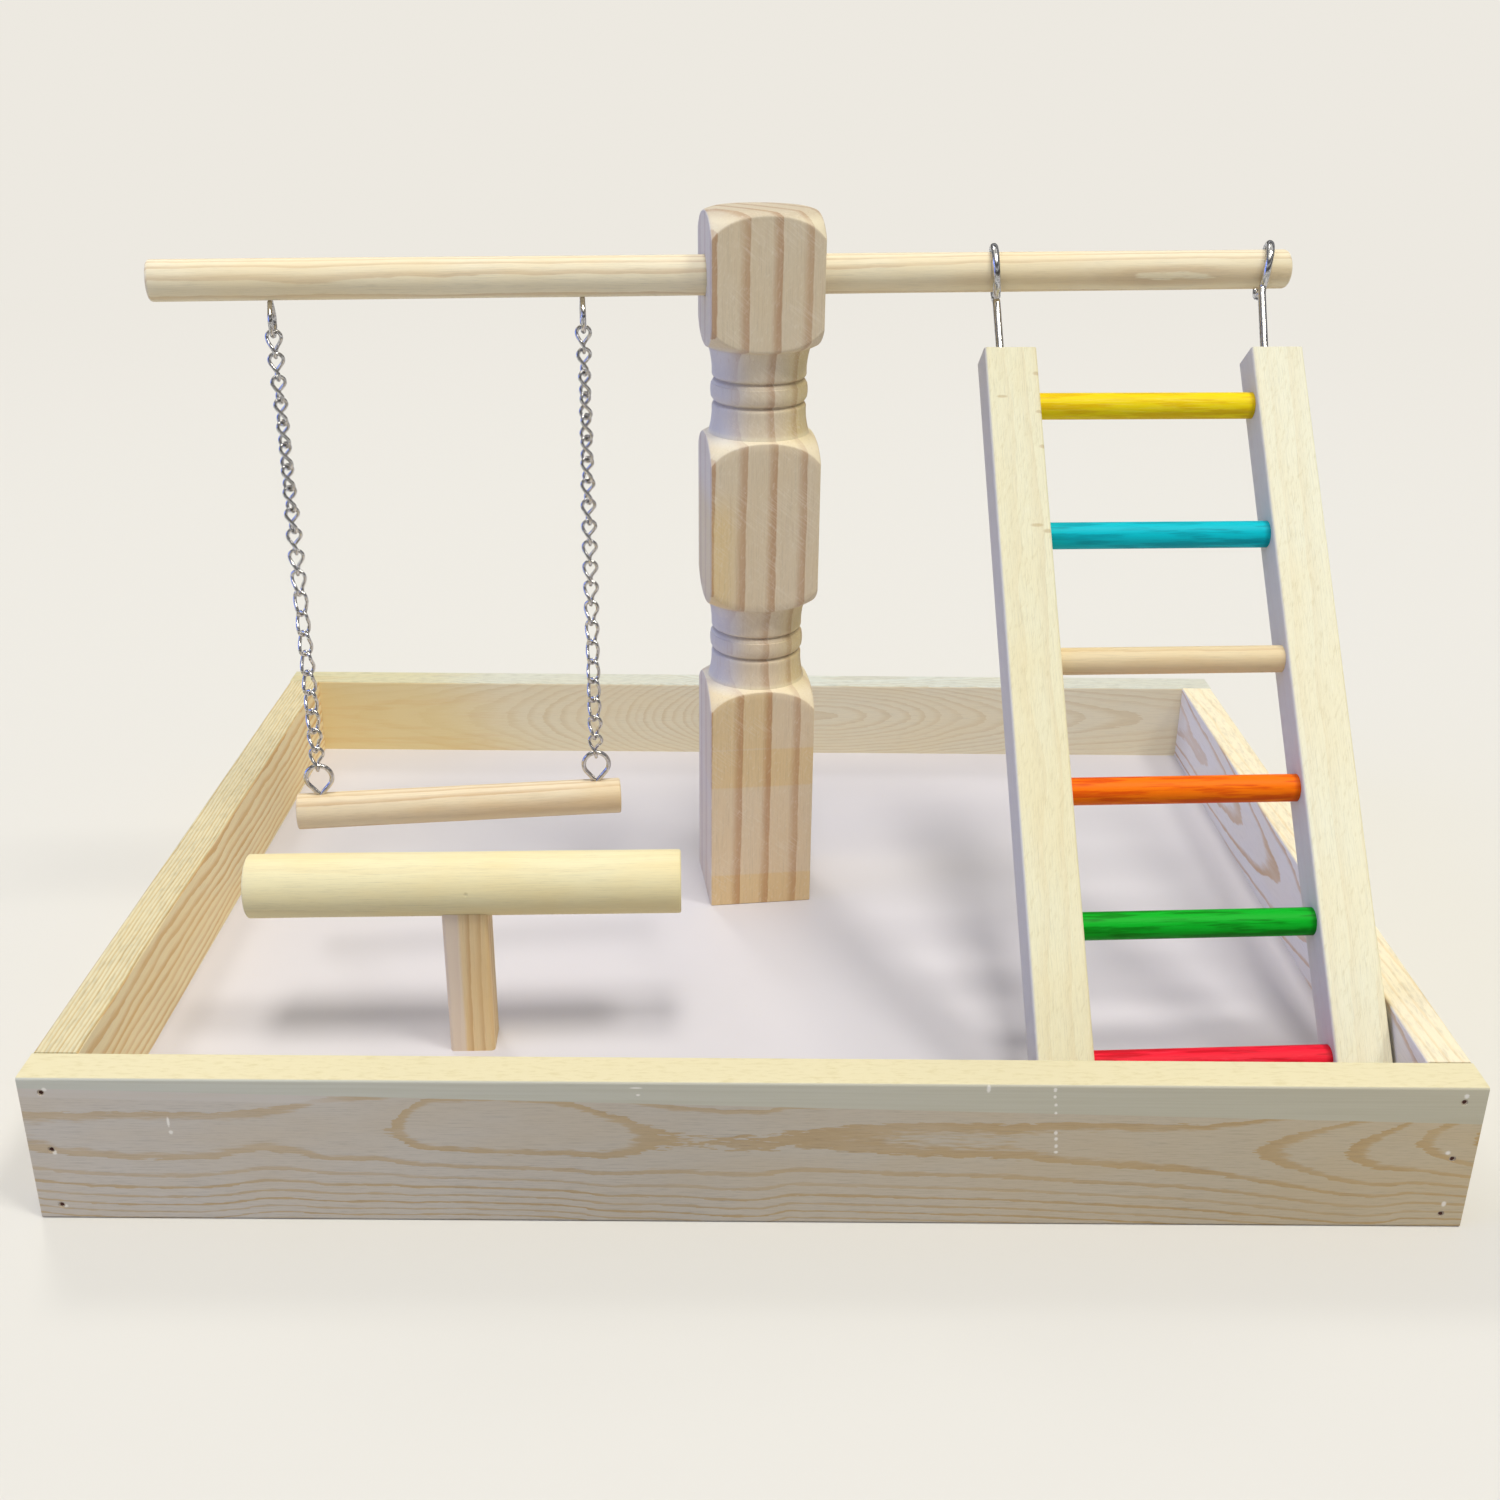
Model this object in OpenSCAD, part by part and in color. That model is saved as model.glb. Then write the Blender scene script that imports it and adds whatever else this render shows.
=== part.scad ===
// Parrot play stand: a shallow tray with a turned centre post, a long top perch,
// a chain swing, a low T-shaped perch and a slanted ladder with coloured rungs.
// Units are millimetres. The origin is the centre of the tray's underside,
// +X to the right along the front board, +Y to the back, +Z up.

/* [Tray] */
// Outer width of the tray, along the front board
tray_w = 596; // [590:1:900]
// Outer depth of the tray, front to back
tray_d = 462; // [456:1:700]
// Thickness of the tray's boards
board_t = 18.5; // [15:0.5:20]
// Height of the tray's boards
board_h = 70; // [64:1:75]
// Rounding of the boards' long edges
board_ease = 1.2; // [0.5:0.1:3]
// Thickness of the floor panel
floor_t = 19; // [12:0.5:19]
// Height of the floor panel's underside above the ground
floor_rise = 3.5; // [1:0.5:6]

/* [Brads] */
// Diameter of a brad's shank
brad_d = 1.6; // [1.2:0.1:2]
// Length of a brad
brad_l = 38; // [25:1:50]
// Diameter of a brad's head
brad_head_d = 2.8; // [2:0.1:4]
// Thickness of a brad's head
brad_head_t = 1; // [0.5:0.1:1.5]
// Depth that a brad's head is set below the face
brad_sink = 0.3; // [0.1:0.1:1]
// Distance from the lowest brad to the board's edge
brad_edge = 7; // [6:0.5:12]

/* [Centre post] */
// Width of the post's square blocks
post_w = 54.5; // [50:0.5:60]
// Post's centre, right of the tray's centre
post_x = 1.2; // [-5:0.2:5]
// Post's centre, behind the tray's centre
post_y = 33.8; // [30:0.2:60]
// Turn of the post and its perch about the vertical
post_turn = 8; // [4:0.5:10]
// Rounding of the blocks' vertical edges
post_ease = 1; // [0.5:0.1:2]
// Height of the bottom block, at the middle of its face
low_block_h = 123; // [110:1:140]
// Height of the middle block, at the middle of its face
mid_block_h = 85.5; // [70:0.5:100]
// Height of the top block, at the middle of its face
top_block_h = 62.5; // [55:0.5:70]
// Gap between two blocks, at the middle of their faces
neck_h = 43.9; // [40:0.1:50]
// Radius of the turned necks
neck_r = 23.3; // [21:0.1:24]
// Height of a neck's foot above the middle of the block's face
collar_rise = 3.5; // [2.5:0.1:5]
// Radius of the small hollow round a neck's foot
cove_r = 2.6; // [2.2:0.1:4]
// Radius at which the hollow ends and the shoulder starts
shoulder_in = 25.2; // [24.9:0.1:26]
// Height of a shoulder's start above the middle of the face
shoulder_rise = 0.9; // [0.5:0.1:1.5]
// Fall of a shoulder from the middle of the face to the corner
shoulder_fall = 11; // [9:0.1:13]
// Sweep radius of a shoulder's rounded outline
shoulder_r = 21.5; // [16:0.5:40]
// Height of the bead between a neck's two grooves
bead_h = 11.4; // [8:0.1:14]
// Width of a groove
groove_w = 2.2; // [1:0.1:3]
// Depth of a groove
groove_depth = 1.3; // [0.5:0.1:2]
// Rise of the top end's flat middle above the middle of the face
crown_rise = 1.3; // [0.5:0.1:3]
// Radius of the flat middle of the top end
crown_r = 23; // [20:0.1:25]

/* [Main perch] */
// Diameter of the round dowels
dowel_d = 19.05; // [16:0.05:22]
// Height of the perch's axis above the top block's lower end
perch_up = 32.8; // [28:0.1:38]
// Length of the perch left of the post's axis
perch_left = 284.5; // [270:0.5:300]
// Length of the perch beyond the ladder's right hook
perch_over = 12; // [10:0.5:30]
// Rounding of the dowels' end edges
dowel_ease = 0.8; // [0.3:0.1:2]

/* [Swing] */
// Distance from the post's axis to the middle of the swing
swing_out = 158.3; // [150:0.1:165]
// Distance between the two chains
chain_gap = 145; // [120:1:160]
// Length of the swing's perch
swing_l = 170; // [165:1:190]
// Wire diameter of the screw eyes
eye_wire = 2.5; // [2:0.1:2.6]
// Centre-line radius of a screw eye's ring
eye_r = 6.65; // [6.5:0.05:8]
// Height of a screw eye's ring centre above the wood
eye_h = 9.5; // [9:0.1:12]
// Depth of the throat of a screw eye in the wood
eye_throat = 0.7; // [0.3:0.1:1]
// Length of a screw eye's threaded end in the wood
eye_screw = 12; // [8:0.5:14]
// Wire diameter of the chain links
link_wire = 1.8; // [1.6:0.1:2]
// Outer length of a chain link
link_l = 14.4; // [14:0.1:15]
// Outer width of a chain link
link_w = 8.7; // [8.4:0.1:9.5]
// Play between two hooked links
link_play = 0.12; // [0.1:0.01:0.3]
// Radial swelling of a wire at a sharp bend
bend_swell = 0.03; // [0.02:0.01:0.04]
// Number of links in a chain
link_n = 21; // [15:1:21]

/* [T-shaped perch] */
// Diameter of its thick rod
t_rod_d = 29; // [26:0.5:32]
// Length of its rod
t_rod_l = 194; // [150:1:200]
// Height of its rod's axis above the floor panel
t_rod_up = 82.6; // [70:0.1:90]
// Width of its square post
t_post_w = 20.5; // [19:0.5:24]
// Rounding of its post's vertical edges
t_post_ease = 2; // [1:0.1:3]
// Left of the tray's centre, to its post's centre
t_left = 130.4; // [120:0.1:135]
// In front of the tray's centre, to its post's centre
t_front = 128; // [120:1:180]
// Turn of the T-shaped perch about the vertical
t_turn = 2.4; // [0:0.2:5]
// Shift of the rod's middle to the right of its post
t_rod_shift = 0.4; // [0:0.1:4]
// Diameter of the wooden pin between rod and post
pin_d = 6; // [5:0.5:8]
// Depth of the wooden pin in the rod
pin_up = 12; // [8:0.5:14]
// Depth of the wooden pin in the post
pin_down = 14; // [8:0.5:20]

/* [Floor screws] */
// Diameter of a floor screw's shank
screw_d = 4; // [3:0.1:5]
// Diameter of a floor screw's countersunk head
screw_head_d = 8; // [6:0.1:9]
// Length of a floor screw
screw_l = 45; // [35:1:60]
// Distance between the two screws under the centre post
screw_gap = 26; // [16:1:32]

/* [Ladder] */
// Width of a rail, seen from the front
rail_w = 25.4; // [22:0.1:26]
// Thickness of a rail
rail_t = 19; // [17:0.5:20]
// Distance from the front board to the back edge of the left rail's foot
foot_back = 20; // [18:0.5:60]
// Distance from the right board to the back edge of the right rail's foot
foot_side = 1.3; // [1.2:0.1:10]
// Rounding of the rails' long edges
rail_ease = 1.5; // [0.5:0.1:3]
// Gap between the rails
rail_gap = 105.8; // [90:0.1:107]
// Turn of the ladder about the vertical
ladder_turn = 3.4; // [2:0.1:5]
// Diameter of a rung
rung_d = 12.7; // [10:0.1:13]
// Depth of a rung's socket in a rail
rung_socket = 10; // [6:0.5:14]
// Shift of the hooks to the left of the rails' middle
hook_shift = 3; // [0:0.1:4]
// Wire diameter of the hooks
hook_wire = 3.9; // [3:0.1:4.2]
// Inner radius of a hook's loop
hook_in_r = 10.9; // [10.8:0.1:11.5]
// Distance from the left hook's loop centre to the rail's top
hook_up = 42.8; // [40:0.1:50]
// Distance of the left hook's shank behind its loop's centre
hook_back = 3.4; // [2:0.1:5]
// Bend radius where a hook's neck runs into its loop
hook_bend = 3; // [2.5:0.5:5]
// Wood left between a hook's threaded end and the first rung
hook_rest = 3; // [2:0.5:6]
// Sideways lean of the right hook's shank, in degrees
hook_lean = 4; // [0:1:6]
// Sideways lean of the right hook's neck and loop, in degrees
loop_lean = 14; // [0:1:15]
// Arc from a hook's bend round to its tip, in degrees
hook_sweep = 331; // [250:1:331]

/* [Fits] */
// Radial play of a glued or screwed piece in its hole
glue_fit = 0.05; // [0.02:0.01:0.1]
// Gap between a moving piece and what carries it
play = 0.3; // [0.2:0.05:0.5]

/* [Hidden] */
$fn = 64;

// Overrun of every cut past the face that it opens
over = board_t / 10;
floor_top = floor_rise + floor_t;
side_l = tray_d - 2 * board_t;
// Brads: three at each end of the front and back boards
brad_count = 3;
brad_pitch = (board_h - 2 * brad_edge) / (brad_count - 1);

// Post: levels at the middle of the faces, from the floor panel up
post_half = post_w / 2;
corner_r = post_half * sqrt(2);
low_top = low_block_h;
mid_bottom = low_top + neck_h;
mid_top = mid_bottom + mid_block_h;
top_bottom = mid_top + neck_h;
post_top = top_bottom + top_block_h;
bead_low = (neck_h - bead_h) / 2;
arc_steps = 8;

// Main perch and the round dowels
dowel_r = dowel_d / 2;
perch_z = floor_top + top_bottom + perch_up;
perch_dir = [cos(post_turn), sin(post_turn), 0];
post_at = [post_x, post_y, 0];

// Swing
link_r = (link_w - link_wire) / 2;
link_leg = link_l / 2 - link_wire / 2 - link_r;
link_pitch = link_l - 2 * link_wire - link_play;
eye_drop = dowel_r + eye_h;
wires_touch = (eye_wire + link_wire) / 2 + play;
chain_top = perch_z - eye_drop - eye_r + wires_touch;
chain_bottom = chain_top - (link_n - 1) * link_pitch - 2 * (link_leg + link_r);
swing_z = chain_bottom + wires_touch - eye_r - eye_drop;
eye_slope = asin(eye_r / (eye_h + eye_throat));

// T-shaped perch
t_rod_r = t_rod_d / 2;
t_rod_z = floor_top + t_rod_up;
t_at = [-t_left, -t_front, 0];

// Ladder: its frame has x along the rungs, y into its back and z up the rails,
// from the centre of the left hook's loop
rail_step = rail_gap + rail_w;
hook_r = hook_in_r + hook_wire / 2;
hook_hang = hook_in_r - dowel_r - play;
rail_left = hook_shift - rail_w / 2;
rail_right = rail_left + rail_step + rail_w;
// The foot of the right rail sets the place along the perch
foot_reach = post_y + rail_left * sin(ladder_turn) + tray_d / 2 - board_t - foot_back;
ladder_out = (tray_w / 2 - board_t - foot_side - post_x - rail_right * cos(ladder_turn)
              - foot_reach * tan(ladder_turn)) * cos(ladder_turn) / cos(post_turn - ladder_turn);
ladder_at = post_at + ladder_out * perch_dir + [0, 0, perch_z - hook_hang];
// The foot of the left rail sets the slope and the length
ladder_run = (foot_reach + ladder_out * sin(post_turn)) / cos(ladder_turn);
ladder_drop = ladder_at[2] - floor_top - play;
ladder_back = rail_t / 2 + hook_back;
ladder_reach = sqrt(pow(ladder_run, 2) + pow(ladder_drop, 2) - pow(ladder_back, 2));
ladder_slope = atan2(ladder_run, ladder_drop) + atan2(ladder_back, ladder_reach);
rail_l = ladder_reach - hook_up;
// The right hook leans out to the perch, which is turned against the ladder
turn_off = post_turn - ladder_turn;
turn_rise = tan(turn_off) * sin(ladder_slope);
lean_cos = cos(loop_lean) * cos(turn_off) - sin(loop_lean) * sin(turn_off) * sin(ladder_slope);
lean_drop = hook_r * lean_cos - hook_wire / 2 - dowel_r - play - hook_hang;
neck_l = hook_r + hook_bend;
neck_rise = neck_l * cos(loop_lean);
right_x = (rail_step + neck_l * sin(loop_lean)
           + tan(hook_lean) * (hook_up - neck_rise - lean_drop * cos(ladder_slope)))
          / (1 - turn_rise * tan(hook_lean));
right_y = right_x * tan(turn_off) * cos(ladder_slope) + lean_drop * sin(ladder_slope);
right_z = right_x * turn_rise - lean_drop * cos(ladder_slope);
perch_right = ladder_out + right_x / cos(turn_off) + perch_over;
// Places of the rungs, as shares of the rail's length from its top
rung_shares = [0.073, 0.257, 0.428, 0.598, 0.767, 0.934];
hook_screw = rung_shares[0] * rail_l - rung_d / 2 - hook_rest;

pine = [0.87, 0.75, 0.53];
pine_tan = [0.78, 0.66, 0.49];
pale_wood = [0.93, 0.88, 0.68];
bright_steel = [0.78, 0.79, 0.8];

// Points of an arc from p to q. It bulges to the left of the way from p to q,
// or to the right when r is negative.
function arc_points(p, q, r) =
    let (d = q - p,
         half = norm(d) / 2,
         side = sign(r) * [-d[1], d[0]] / norm(d),
         centre = (p + q) / 2 - side * sqrt(r * r - half * half),
         start = atan2(p[1] - centre[1], p[0] - centre[0]),
         step = 2 * asin(half / r) / arc_steps)
    [for (i = [0:arc_steps]) centre + abs(r) * [cos(start - step * i), sin(start - step * i)]];

function turned(points) = [for (i = [len(points) - 1:-1:0]) points[i]];

// Outline from a block's corner over its shoulder to the neck's foot, for a block that ends at z = 0
function shoulder_points() =
    concat(arc_points([corner_r, -shoulder_fall], [shoulder_in, shoulder_rise], -shoulder_r),
           arc_points([shoulder_in, shoulder_rise], [neck_r, collar_rise], cove_r));

// Outline of one neck, from the shoulder below it to the shoulder above it
function neck_points(z) =
    let (foot = shoulder_points())
    concat([for (p = foot) [p[0], z + p[1]]],
           groove_points(z + bead_low),
           groove_points(z + neck_h - bead_low),
           turned([for (p = foot) [p[0], z + neck_h - p[1]]]));

function groove_points(z) = [[neck_r, z - groove_w / 2], [neck_r - groove_depth, z], [neck_r, z + groove_w / 2]];

// A bar along X with rounded long edges, from x = 0, centred on y and standing on z = 0
module eased_bar(l, w, h, r) {
    translate([0, -w / 2, 0])
        rotate([90, 0, 90])
            linear_extrude(l)
                eased_square(w, h, r);
}

module eased_square(w, h, r) {
    translate([r, 0])
        square([w - 2 * r, h]);
    translate([0, r])
        square([w, h - 2 * r]);
    for (x = [r, w - r], y = [r, h - r])
        translate([x, y])
            circle(r);
}

// A dowel along X with eased end edges
module dowel(l, d) {
    rotate([90, 0, 90])
        rotate_extrude()
            polygon([[0, 0], [d / 2 - dowel_ease, 0], [d / 2, dowel_ease],
                     [d / 2, l - dowel_ease], [d / 2 - dowel_ease, l], [0, l]]);
}

module rod_between(p, q, r) {
    d = q - p;
    translate(p)
        rotate([0, acos(d[2] / norm(d)), atan2(d[1], d[0])])
            cylinder(h = norm(d), r = r);
}

// Brads

// One brad along +Y, its head at y = 0
module brad(grow = 0) {
    rotate([-90, 0, 0]) {
        cylinder(h = brad_head_t, d = brad_head_d + 2 * grow);
        cylinder(h = brad_l + grow, d = brad_d + 2 * grow);
    }
}

module brads_at_front(grow = 0) {
    for (x = [-1, 1], i = [0:brad_count - 1])
        translate([x * (tray_w - board_t) / 2, brad_sink - tray_d / 2, brad_edge + i * brad_pitch])
            brad(grow);
}

module all_brads(grow = 0) {
    brads_at_front(grow);
    rotate([0, 0, 180])
        brads_at_front(grow);
}

// The pits over the sunk heads
module brad_pits() {
    for (x = [-1, 1], i = [0:brad_count - 1])
        translate([x * (tray_w - board_t) / 2, brad_sink - tray_d / 2, brad_edge + i * brad_pitch])
            rotate([90, 0, 0])
                cylinder(h = brad_sink + over, d = brad_head_d + 2 * glue_fit);
}

module frame_brads() {
    color("dimgray")
        all_brads();
}

// Tray

module end_board() {
    difference() {
        translate([-tray_w / 2, (board_t - tray_d) / 2, 0])
            eased_bar(tray_w, board_t, board_h, board_ease);
        brads_at_front(glue_fit);
        brad_pits();
    }
}

module front_board() {
    color(pine)
        end_board();
}

module back_board() {
    color(pine)
        rotate([0, 0, 180])
            end_board();
}

module side_board(x) {
    color(pine)
        difference() {
            translate([x * (tray_w - board_t) / 2, -side_l / 2, 0])
                rotate([0, 0, 90])
                    eased_bar(side_l, board_t, board_h, board_ease);
            all_brads(glue_fit);
        }
}

module left_board() {
    side_board(-1);
}

module right_board() {
    side_board(1);
}

module floor_panel() {
    color("whitesmoke")
        difference() {
            translate([board_t - tray_w / 2, -side_l / 2, floor_rise])
                cube([tray_w - 2 * board_t, side_l, floor_t]);
            for (at = screw_places())
                translate(at)
                    floor_screw(glue_fit);
        }
}

// Floor screws

// Heads of the two screws under the post and of the one under the T-shaped perch
function post_screw_places() =
    [for (x = [-1, 1]) post_at + x * screw_gap / 2 * perch_dir + [0, 0, floor_rise]];
function t_screw_place() = t_at + [0, 0, floor_rise];
function screw_places() = concat(post_screw_places(), [t_screw_place()]);

// One countersunk screw upwards from z = 0
module floor_screw(grow = 0) {
    head_h = (screw_head_d - screw_d) / 2;
    cylinder(h = head_h, d1 = screw_head_d + 2 * grow, d2 = screw_d + 2 * grow);
    cylinder(h = screw_l + grow, d = screw_d + 2 * grow);
}

module post_screws() {
    color("silver")
        for (at = post_screw_places())
            translate(at)
                floor_screw();
}

module t_post_screw() {
    color("silver")
        translate(t_screw_place())
            floor_screw();
}

// Centre post and main perch

module post_outline() {
    crown = arc_points([corner_r, post_top - shoulder_fall], [crown_r, post_top + crown_rise], -shoulder_r);
    polygon(concat([[0, 0], [corner_r, 0]],
                   neck_points(low_top),
                   neck_points(mid_top),
                   crown,
                   [[0, post_top + crown_rise]]));
}

module centre_post() {
    color(pine_tan)
        difference() {
            translate(post_at + [0, 0, floor_top])
                rotate([0, 0, post_turn])
                    intersection() {
                        rotate_extrude($fn = 128)
                            post_outline();
                        translate([-post_half, -post_half, 0])
                            linear_extrude(post_top + crown_rise)
                                eased_square(post_w, post_w, post_ease);
                    }
            on_perch(-post_w)
                rotate([90, 0, 90])
                    cylinder(h = 2 * post_w, r = dowel_r + glue_fit);
            for (at = post_screw_places())
                translate(at)
                    floor_screw(glue_fit);
        }
}

// Places a child at a distance along the main perch's axis, from the post's axis
module on_perch(along, z = perch_z) {
    translate(post_at + along * perch_dir + [0, 0, z])
        rotate([0, 0, post_turn])
            children();
}

module main_perch() {
    color(pale_wood)
        difference() {
            on_perch(-perch_left)
                dowel(perch_left + perch_right, dowel_d);
            for (side = [-1, 1])
                upper_eye(side, glue_fit);
        }
}

// Swing

// A screw eye on a face at z = 0: ring in the XZ plane, straight sides down to the throat
module screw_eye(grow = 0) {
    r = eye_wire / 2 + grow;
    throat = [0, 0, -eye_throat];
    translate([0, 0, eye_h])
        rotate([90, 0, 0])
            rotate([0, 0, -eye_slope])
                rotate_extrude(angle = 180 + 2 * eye_slope)
                    translate([eye_r, 0])
                        circle(r);
    for (side = [-1, 1])
        rod_between(throat, [side * eye_r * cos(eye_slope), 0, eye_h - eye_r * sin(eye_slope)], r);
    translate(throat)
        sphere(r);
    translate(throat - [0, 0, eye_screw + grow])
        cylinder(h = eye_screw + grow, r = r);
}

function eye_out(side) = side * chain_gap / 2 - swing_out;

// The upper rings lie across the perch, the lower ones along it
module upper_eye(side, grow = 0) {
    on_perch(eye_out(side), perch_z - dowel_r)
        rotate([180, 0, 90])
            screw_eye(grow);
}

module lower_eye(side, grow = 0) {
    on_perch(eye_out(side), swing_z + dowel_r)
        screw_eye(grow);
}

module upper_eye_left() {
    color(bright_steel)
        upper_eye(-1);
}

module upper_eye_right() {
    color(bright_steel)
        upper_eye(1);
}

module lower_eye_left() {
    color(bright_steel)
        lower_eye(-1);
}

module lower_eye_right() {
    color(bright_steel)
        lower_eye(1);
}

// One twisted link: its upper bow lies along the perch and its lower bow across it
module chain_link() {
    r = link_wire / 2;
    for (end = [0, 1])
        rotate([end * 180, 0, end * 90])
            translate([0, 0, link_leg]) {
                rotate([90, 0, 0])
                    rotate_extrude(angle = 180)
                        translate([link_r, 0])
                            circle(r);
                for (side = [-1, 1])
                    translate([side * link_r, 0, 0])
                        sphere(r + bend_swell);
            }
    for (side = [-1, 1])
        rod_between([side * link_r, 0, link_leg], [0, side * link_r, -link_leg], r);
}

module chain(side) {
    color(bright_steel)
        for (i = [0:link_n - 1])
            on_perch(eye_out(side), chain_top - link_r - link_leg - i * link_pitch)
                chain_link();
}

module chain_left() {
    chain(-1);
}

module chain_right() {
    chain(1);
}

module swing_perch() {
    color(pine)
        difference() {
            on_perch(-swing_out - swing_l / 2, swing_z)
                dowel(swing_l, dowel_d);
            for (side = [-1, 1])
                lower_eye(side, glue_fit);
        }
}

// T-shaped perch

module at_t(z) {
    translate(t_at + [0, 0, z])
        rotate([0, 0, t_turn])
            children();
}

module t_rod_solid(grow = 0) {
    at_t(t_rod_z)
        translate([t_rod_shift - t_rod_l / 2, 0, 0])
            dowel(t_rod_l, t_rod_d + 2 * grow);
}

module t_pin_solid(grow = 0) {
    at_t(t_rod_z - t_rod_r - pin_down - grow)
        cylinder(h = pin_up + pin_down + 2 * grow, d = pin_d + 2 * grow);
}

module t_post() {
    color(pine_tan)
        difference() {
            at_t(floor_top)
                translate([-t_post_w / 2, -t_post_w / 2, 0])
                    linear_extrude(t_rod_up)
                        eased_square(t_post_w, t_post_w, t_post_ease);
            t_rod_solid(glue_fit);
            t_pin_solid(glue_fit);
            translate(t_screw_place())
                floor_screw(glue_fit);
        }
}

module t_rod() {
    color(pale_wood)
        difference() {
            t_rod_solid();
            t_pin_solid(glue_fit);
        }
}

module t_pin() {
    color(pine)
        t_pin_solid();
}

// Ladder

module on_ladder() {
    translate(ladder_at)
        rotate([-ladder_slope, 0, ladder_turn])
            translate([hook_shift, hook_back, -hook_up])
                children();
}

module rail(step, lean) {
    color(pale_wood)
        on_ladder()
            difference() {
                translate([step - rail_w / 2, -rail_t / 2, -rail_l])
                    linear_extrude(rail_l)
                        eased_square(rail_w, rail_t, rail_ease);
                for (share = rung_shares)
                    rung_solid(share, glue_fit);
                hook_shank(step, lean, glue_fit);
            }
}

module ladder_rail_left() {
    rail(0, 0);
}

module ladder_rail_right() {
    rail(rail_step, hook_lean);
}

module rung_solid(share, grow = 0) {
    translate([rail_w / 2 - rung_socket - grow, 0, -share * rail_l])
        rotate([90, 0, 90])
            cylinder(h = rail_gap + 2 * (rung_socket + grow), d = rung_d + 2 * grow);
}

module rung(i, paint) {
    color(paint)
        on_ladder()
            rung_solid(rung_shares[i]);
}

module rung_yellow() {
    rung(0, [0.93, 0.82, 0.12]);
}

module rung_teal() {
    rung(1, [0.02, 0.68, 0.72]);
}

module rung_natural() {
    rung(2, pale_wood);
}

module rung_orange() {
    rung(3, [1, 0.5, 0.04]);
}

module rung_green() {
    rung(4, [0.06, 0.6, 0.14]);
}

module rung_red() {
    rung(5, [0.93, 0.17, 0.25]);
}

// The threaded end of a hook, in the rail whose middle is at x = step
module hook_shank(step, lean, grow = 0) {
    translate([step - hook_shift, 0, 0])
        rotate([0, lean, 0])
            translate([0, 0, -hook_screw - grow])
                cylinder(h = hook_screw + grow + hook_wire, r = hook_wire / 2 + grow);
}

// One hook: its shank leans sideways from the rail's top, and its neck and loop lean by `tip`.
// The loop's centre is `rise` above the rail's top and `back` in front of the shank. The loop
// leaves the neck on the side that `back` points away from.
module hook(step, lean, tip, rise, back) {
    side = sign(back);
    bend_y = side * (abs(back) + hook_bend);
    bend_z = -sqrt(pow(neck_l, 2) - pow(bend_y, 2));
    start = atan2(bend_z, bend_y);
    bend_turn = side > 0 ? -start : 180 + start;
    shank_l = (rise - neck_l * cos(tip)) / cos(lean);
    color(bright_steel)
        on_ladder()
            translate([step - hook_shift, 0, 0])
                rotate([0, lean, 0]) {
                    translate([0, 0, -hook_screw])
                        cylinder(h = hook_screw + shank_l, r = hook_wire / 2);
                    translate([0, 0, shank_l])
                        sphere(hook_wire / 2 + bend_swell);
                    translate([0, 0, shank_l])
                        rotate([0, tip - lean, 0])
                            translate([0, -back, neck_l]) {
                                rotate([90, 0, 90])
                                    rotate([0, 0, side > 0 ? start : start - hook_sweep])
                                        rotate_extrude(angle = hook_sweep)
                                            translate([hook_r, 0])
                                                circle(hook_wire / 2);
                                translate([0, bend_y, bend_z])
                                    rotate([90, 0, 90])
                                        rotate([0, 0, side > 0 ? 180 - bend_turn : 0])
                                            rotate_extrude(angle = bend_turn)
                                                translate([hook_bend, 0])
                                                    circle(hook_wire / 2);
                                translate([0, back, -neck_l])
                                    cylinder(h = neck_l + bend_z, r = hook_wire / 2);
                                for (joint = [[hook_r * cos(start), hook_r * sin(start)], [back, bend_z]])
                                    translate([0, joint[0], joint[1]])
                                        sphere(hook_wire / 2 + bend_swell);
                            }
                }
}

module ladder_hook_left() {
    hook(0, 0, 0, hook_up, hook_back);
}

module ladder_hook_right() {
    hook(rail_step, hook_lean, loop_lean, hook_up + right_z, hook_back - right_y);
}

front_board();
back_board();
left_board();
right_board();
floor_panel();
frame_brads();
centre_post();
post_screws();
main_perch();
upper_eye_left();
upper_eye_right();
chain_left();
chain_right();
lower_eye_left();
lower_eye_right();
swing_perch();
t_post();
t_rod();
t_pin();
t_post_screw();
ladder_rail_left();
ladder_rail_right();
rung_yellow();
rung_teal();
rung_natural();
rung_orange();
rung_green();
rung_red();
ladder_hook_left();
ladder_hook_right();
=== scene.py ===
import math

import bmesh
import bpy
from mathutils import Matrix, Vector


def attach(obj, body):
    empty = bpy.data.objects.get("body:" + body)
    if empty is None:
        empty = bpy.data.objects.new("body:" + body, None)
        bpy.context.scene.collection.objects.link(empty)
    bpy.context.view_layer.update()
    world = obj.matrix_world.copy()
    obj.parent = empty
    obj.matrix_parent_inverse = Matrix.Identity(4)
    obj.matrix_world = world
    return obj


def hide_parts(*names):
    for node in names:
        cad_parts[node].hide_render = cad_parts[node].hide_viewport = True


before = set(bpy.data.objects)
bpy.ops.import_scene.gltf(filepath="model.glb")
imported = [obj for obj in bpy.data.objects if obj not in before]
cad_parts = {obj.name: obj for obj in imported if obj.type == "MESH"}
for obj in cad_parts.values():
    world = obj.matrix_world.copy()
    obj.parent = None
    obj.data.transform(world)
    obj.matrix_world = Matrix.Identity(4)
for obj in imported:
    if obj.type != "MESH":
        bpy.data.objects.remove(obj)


def write_size():
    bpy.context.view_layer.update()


write_size()

MM = 0.001
UP = Vector((0, 0, 1))

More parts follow.
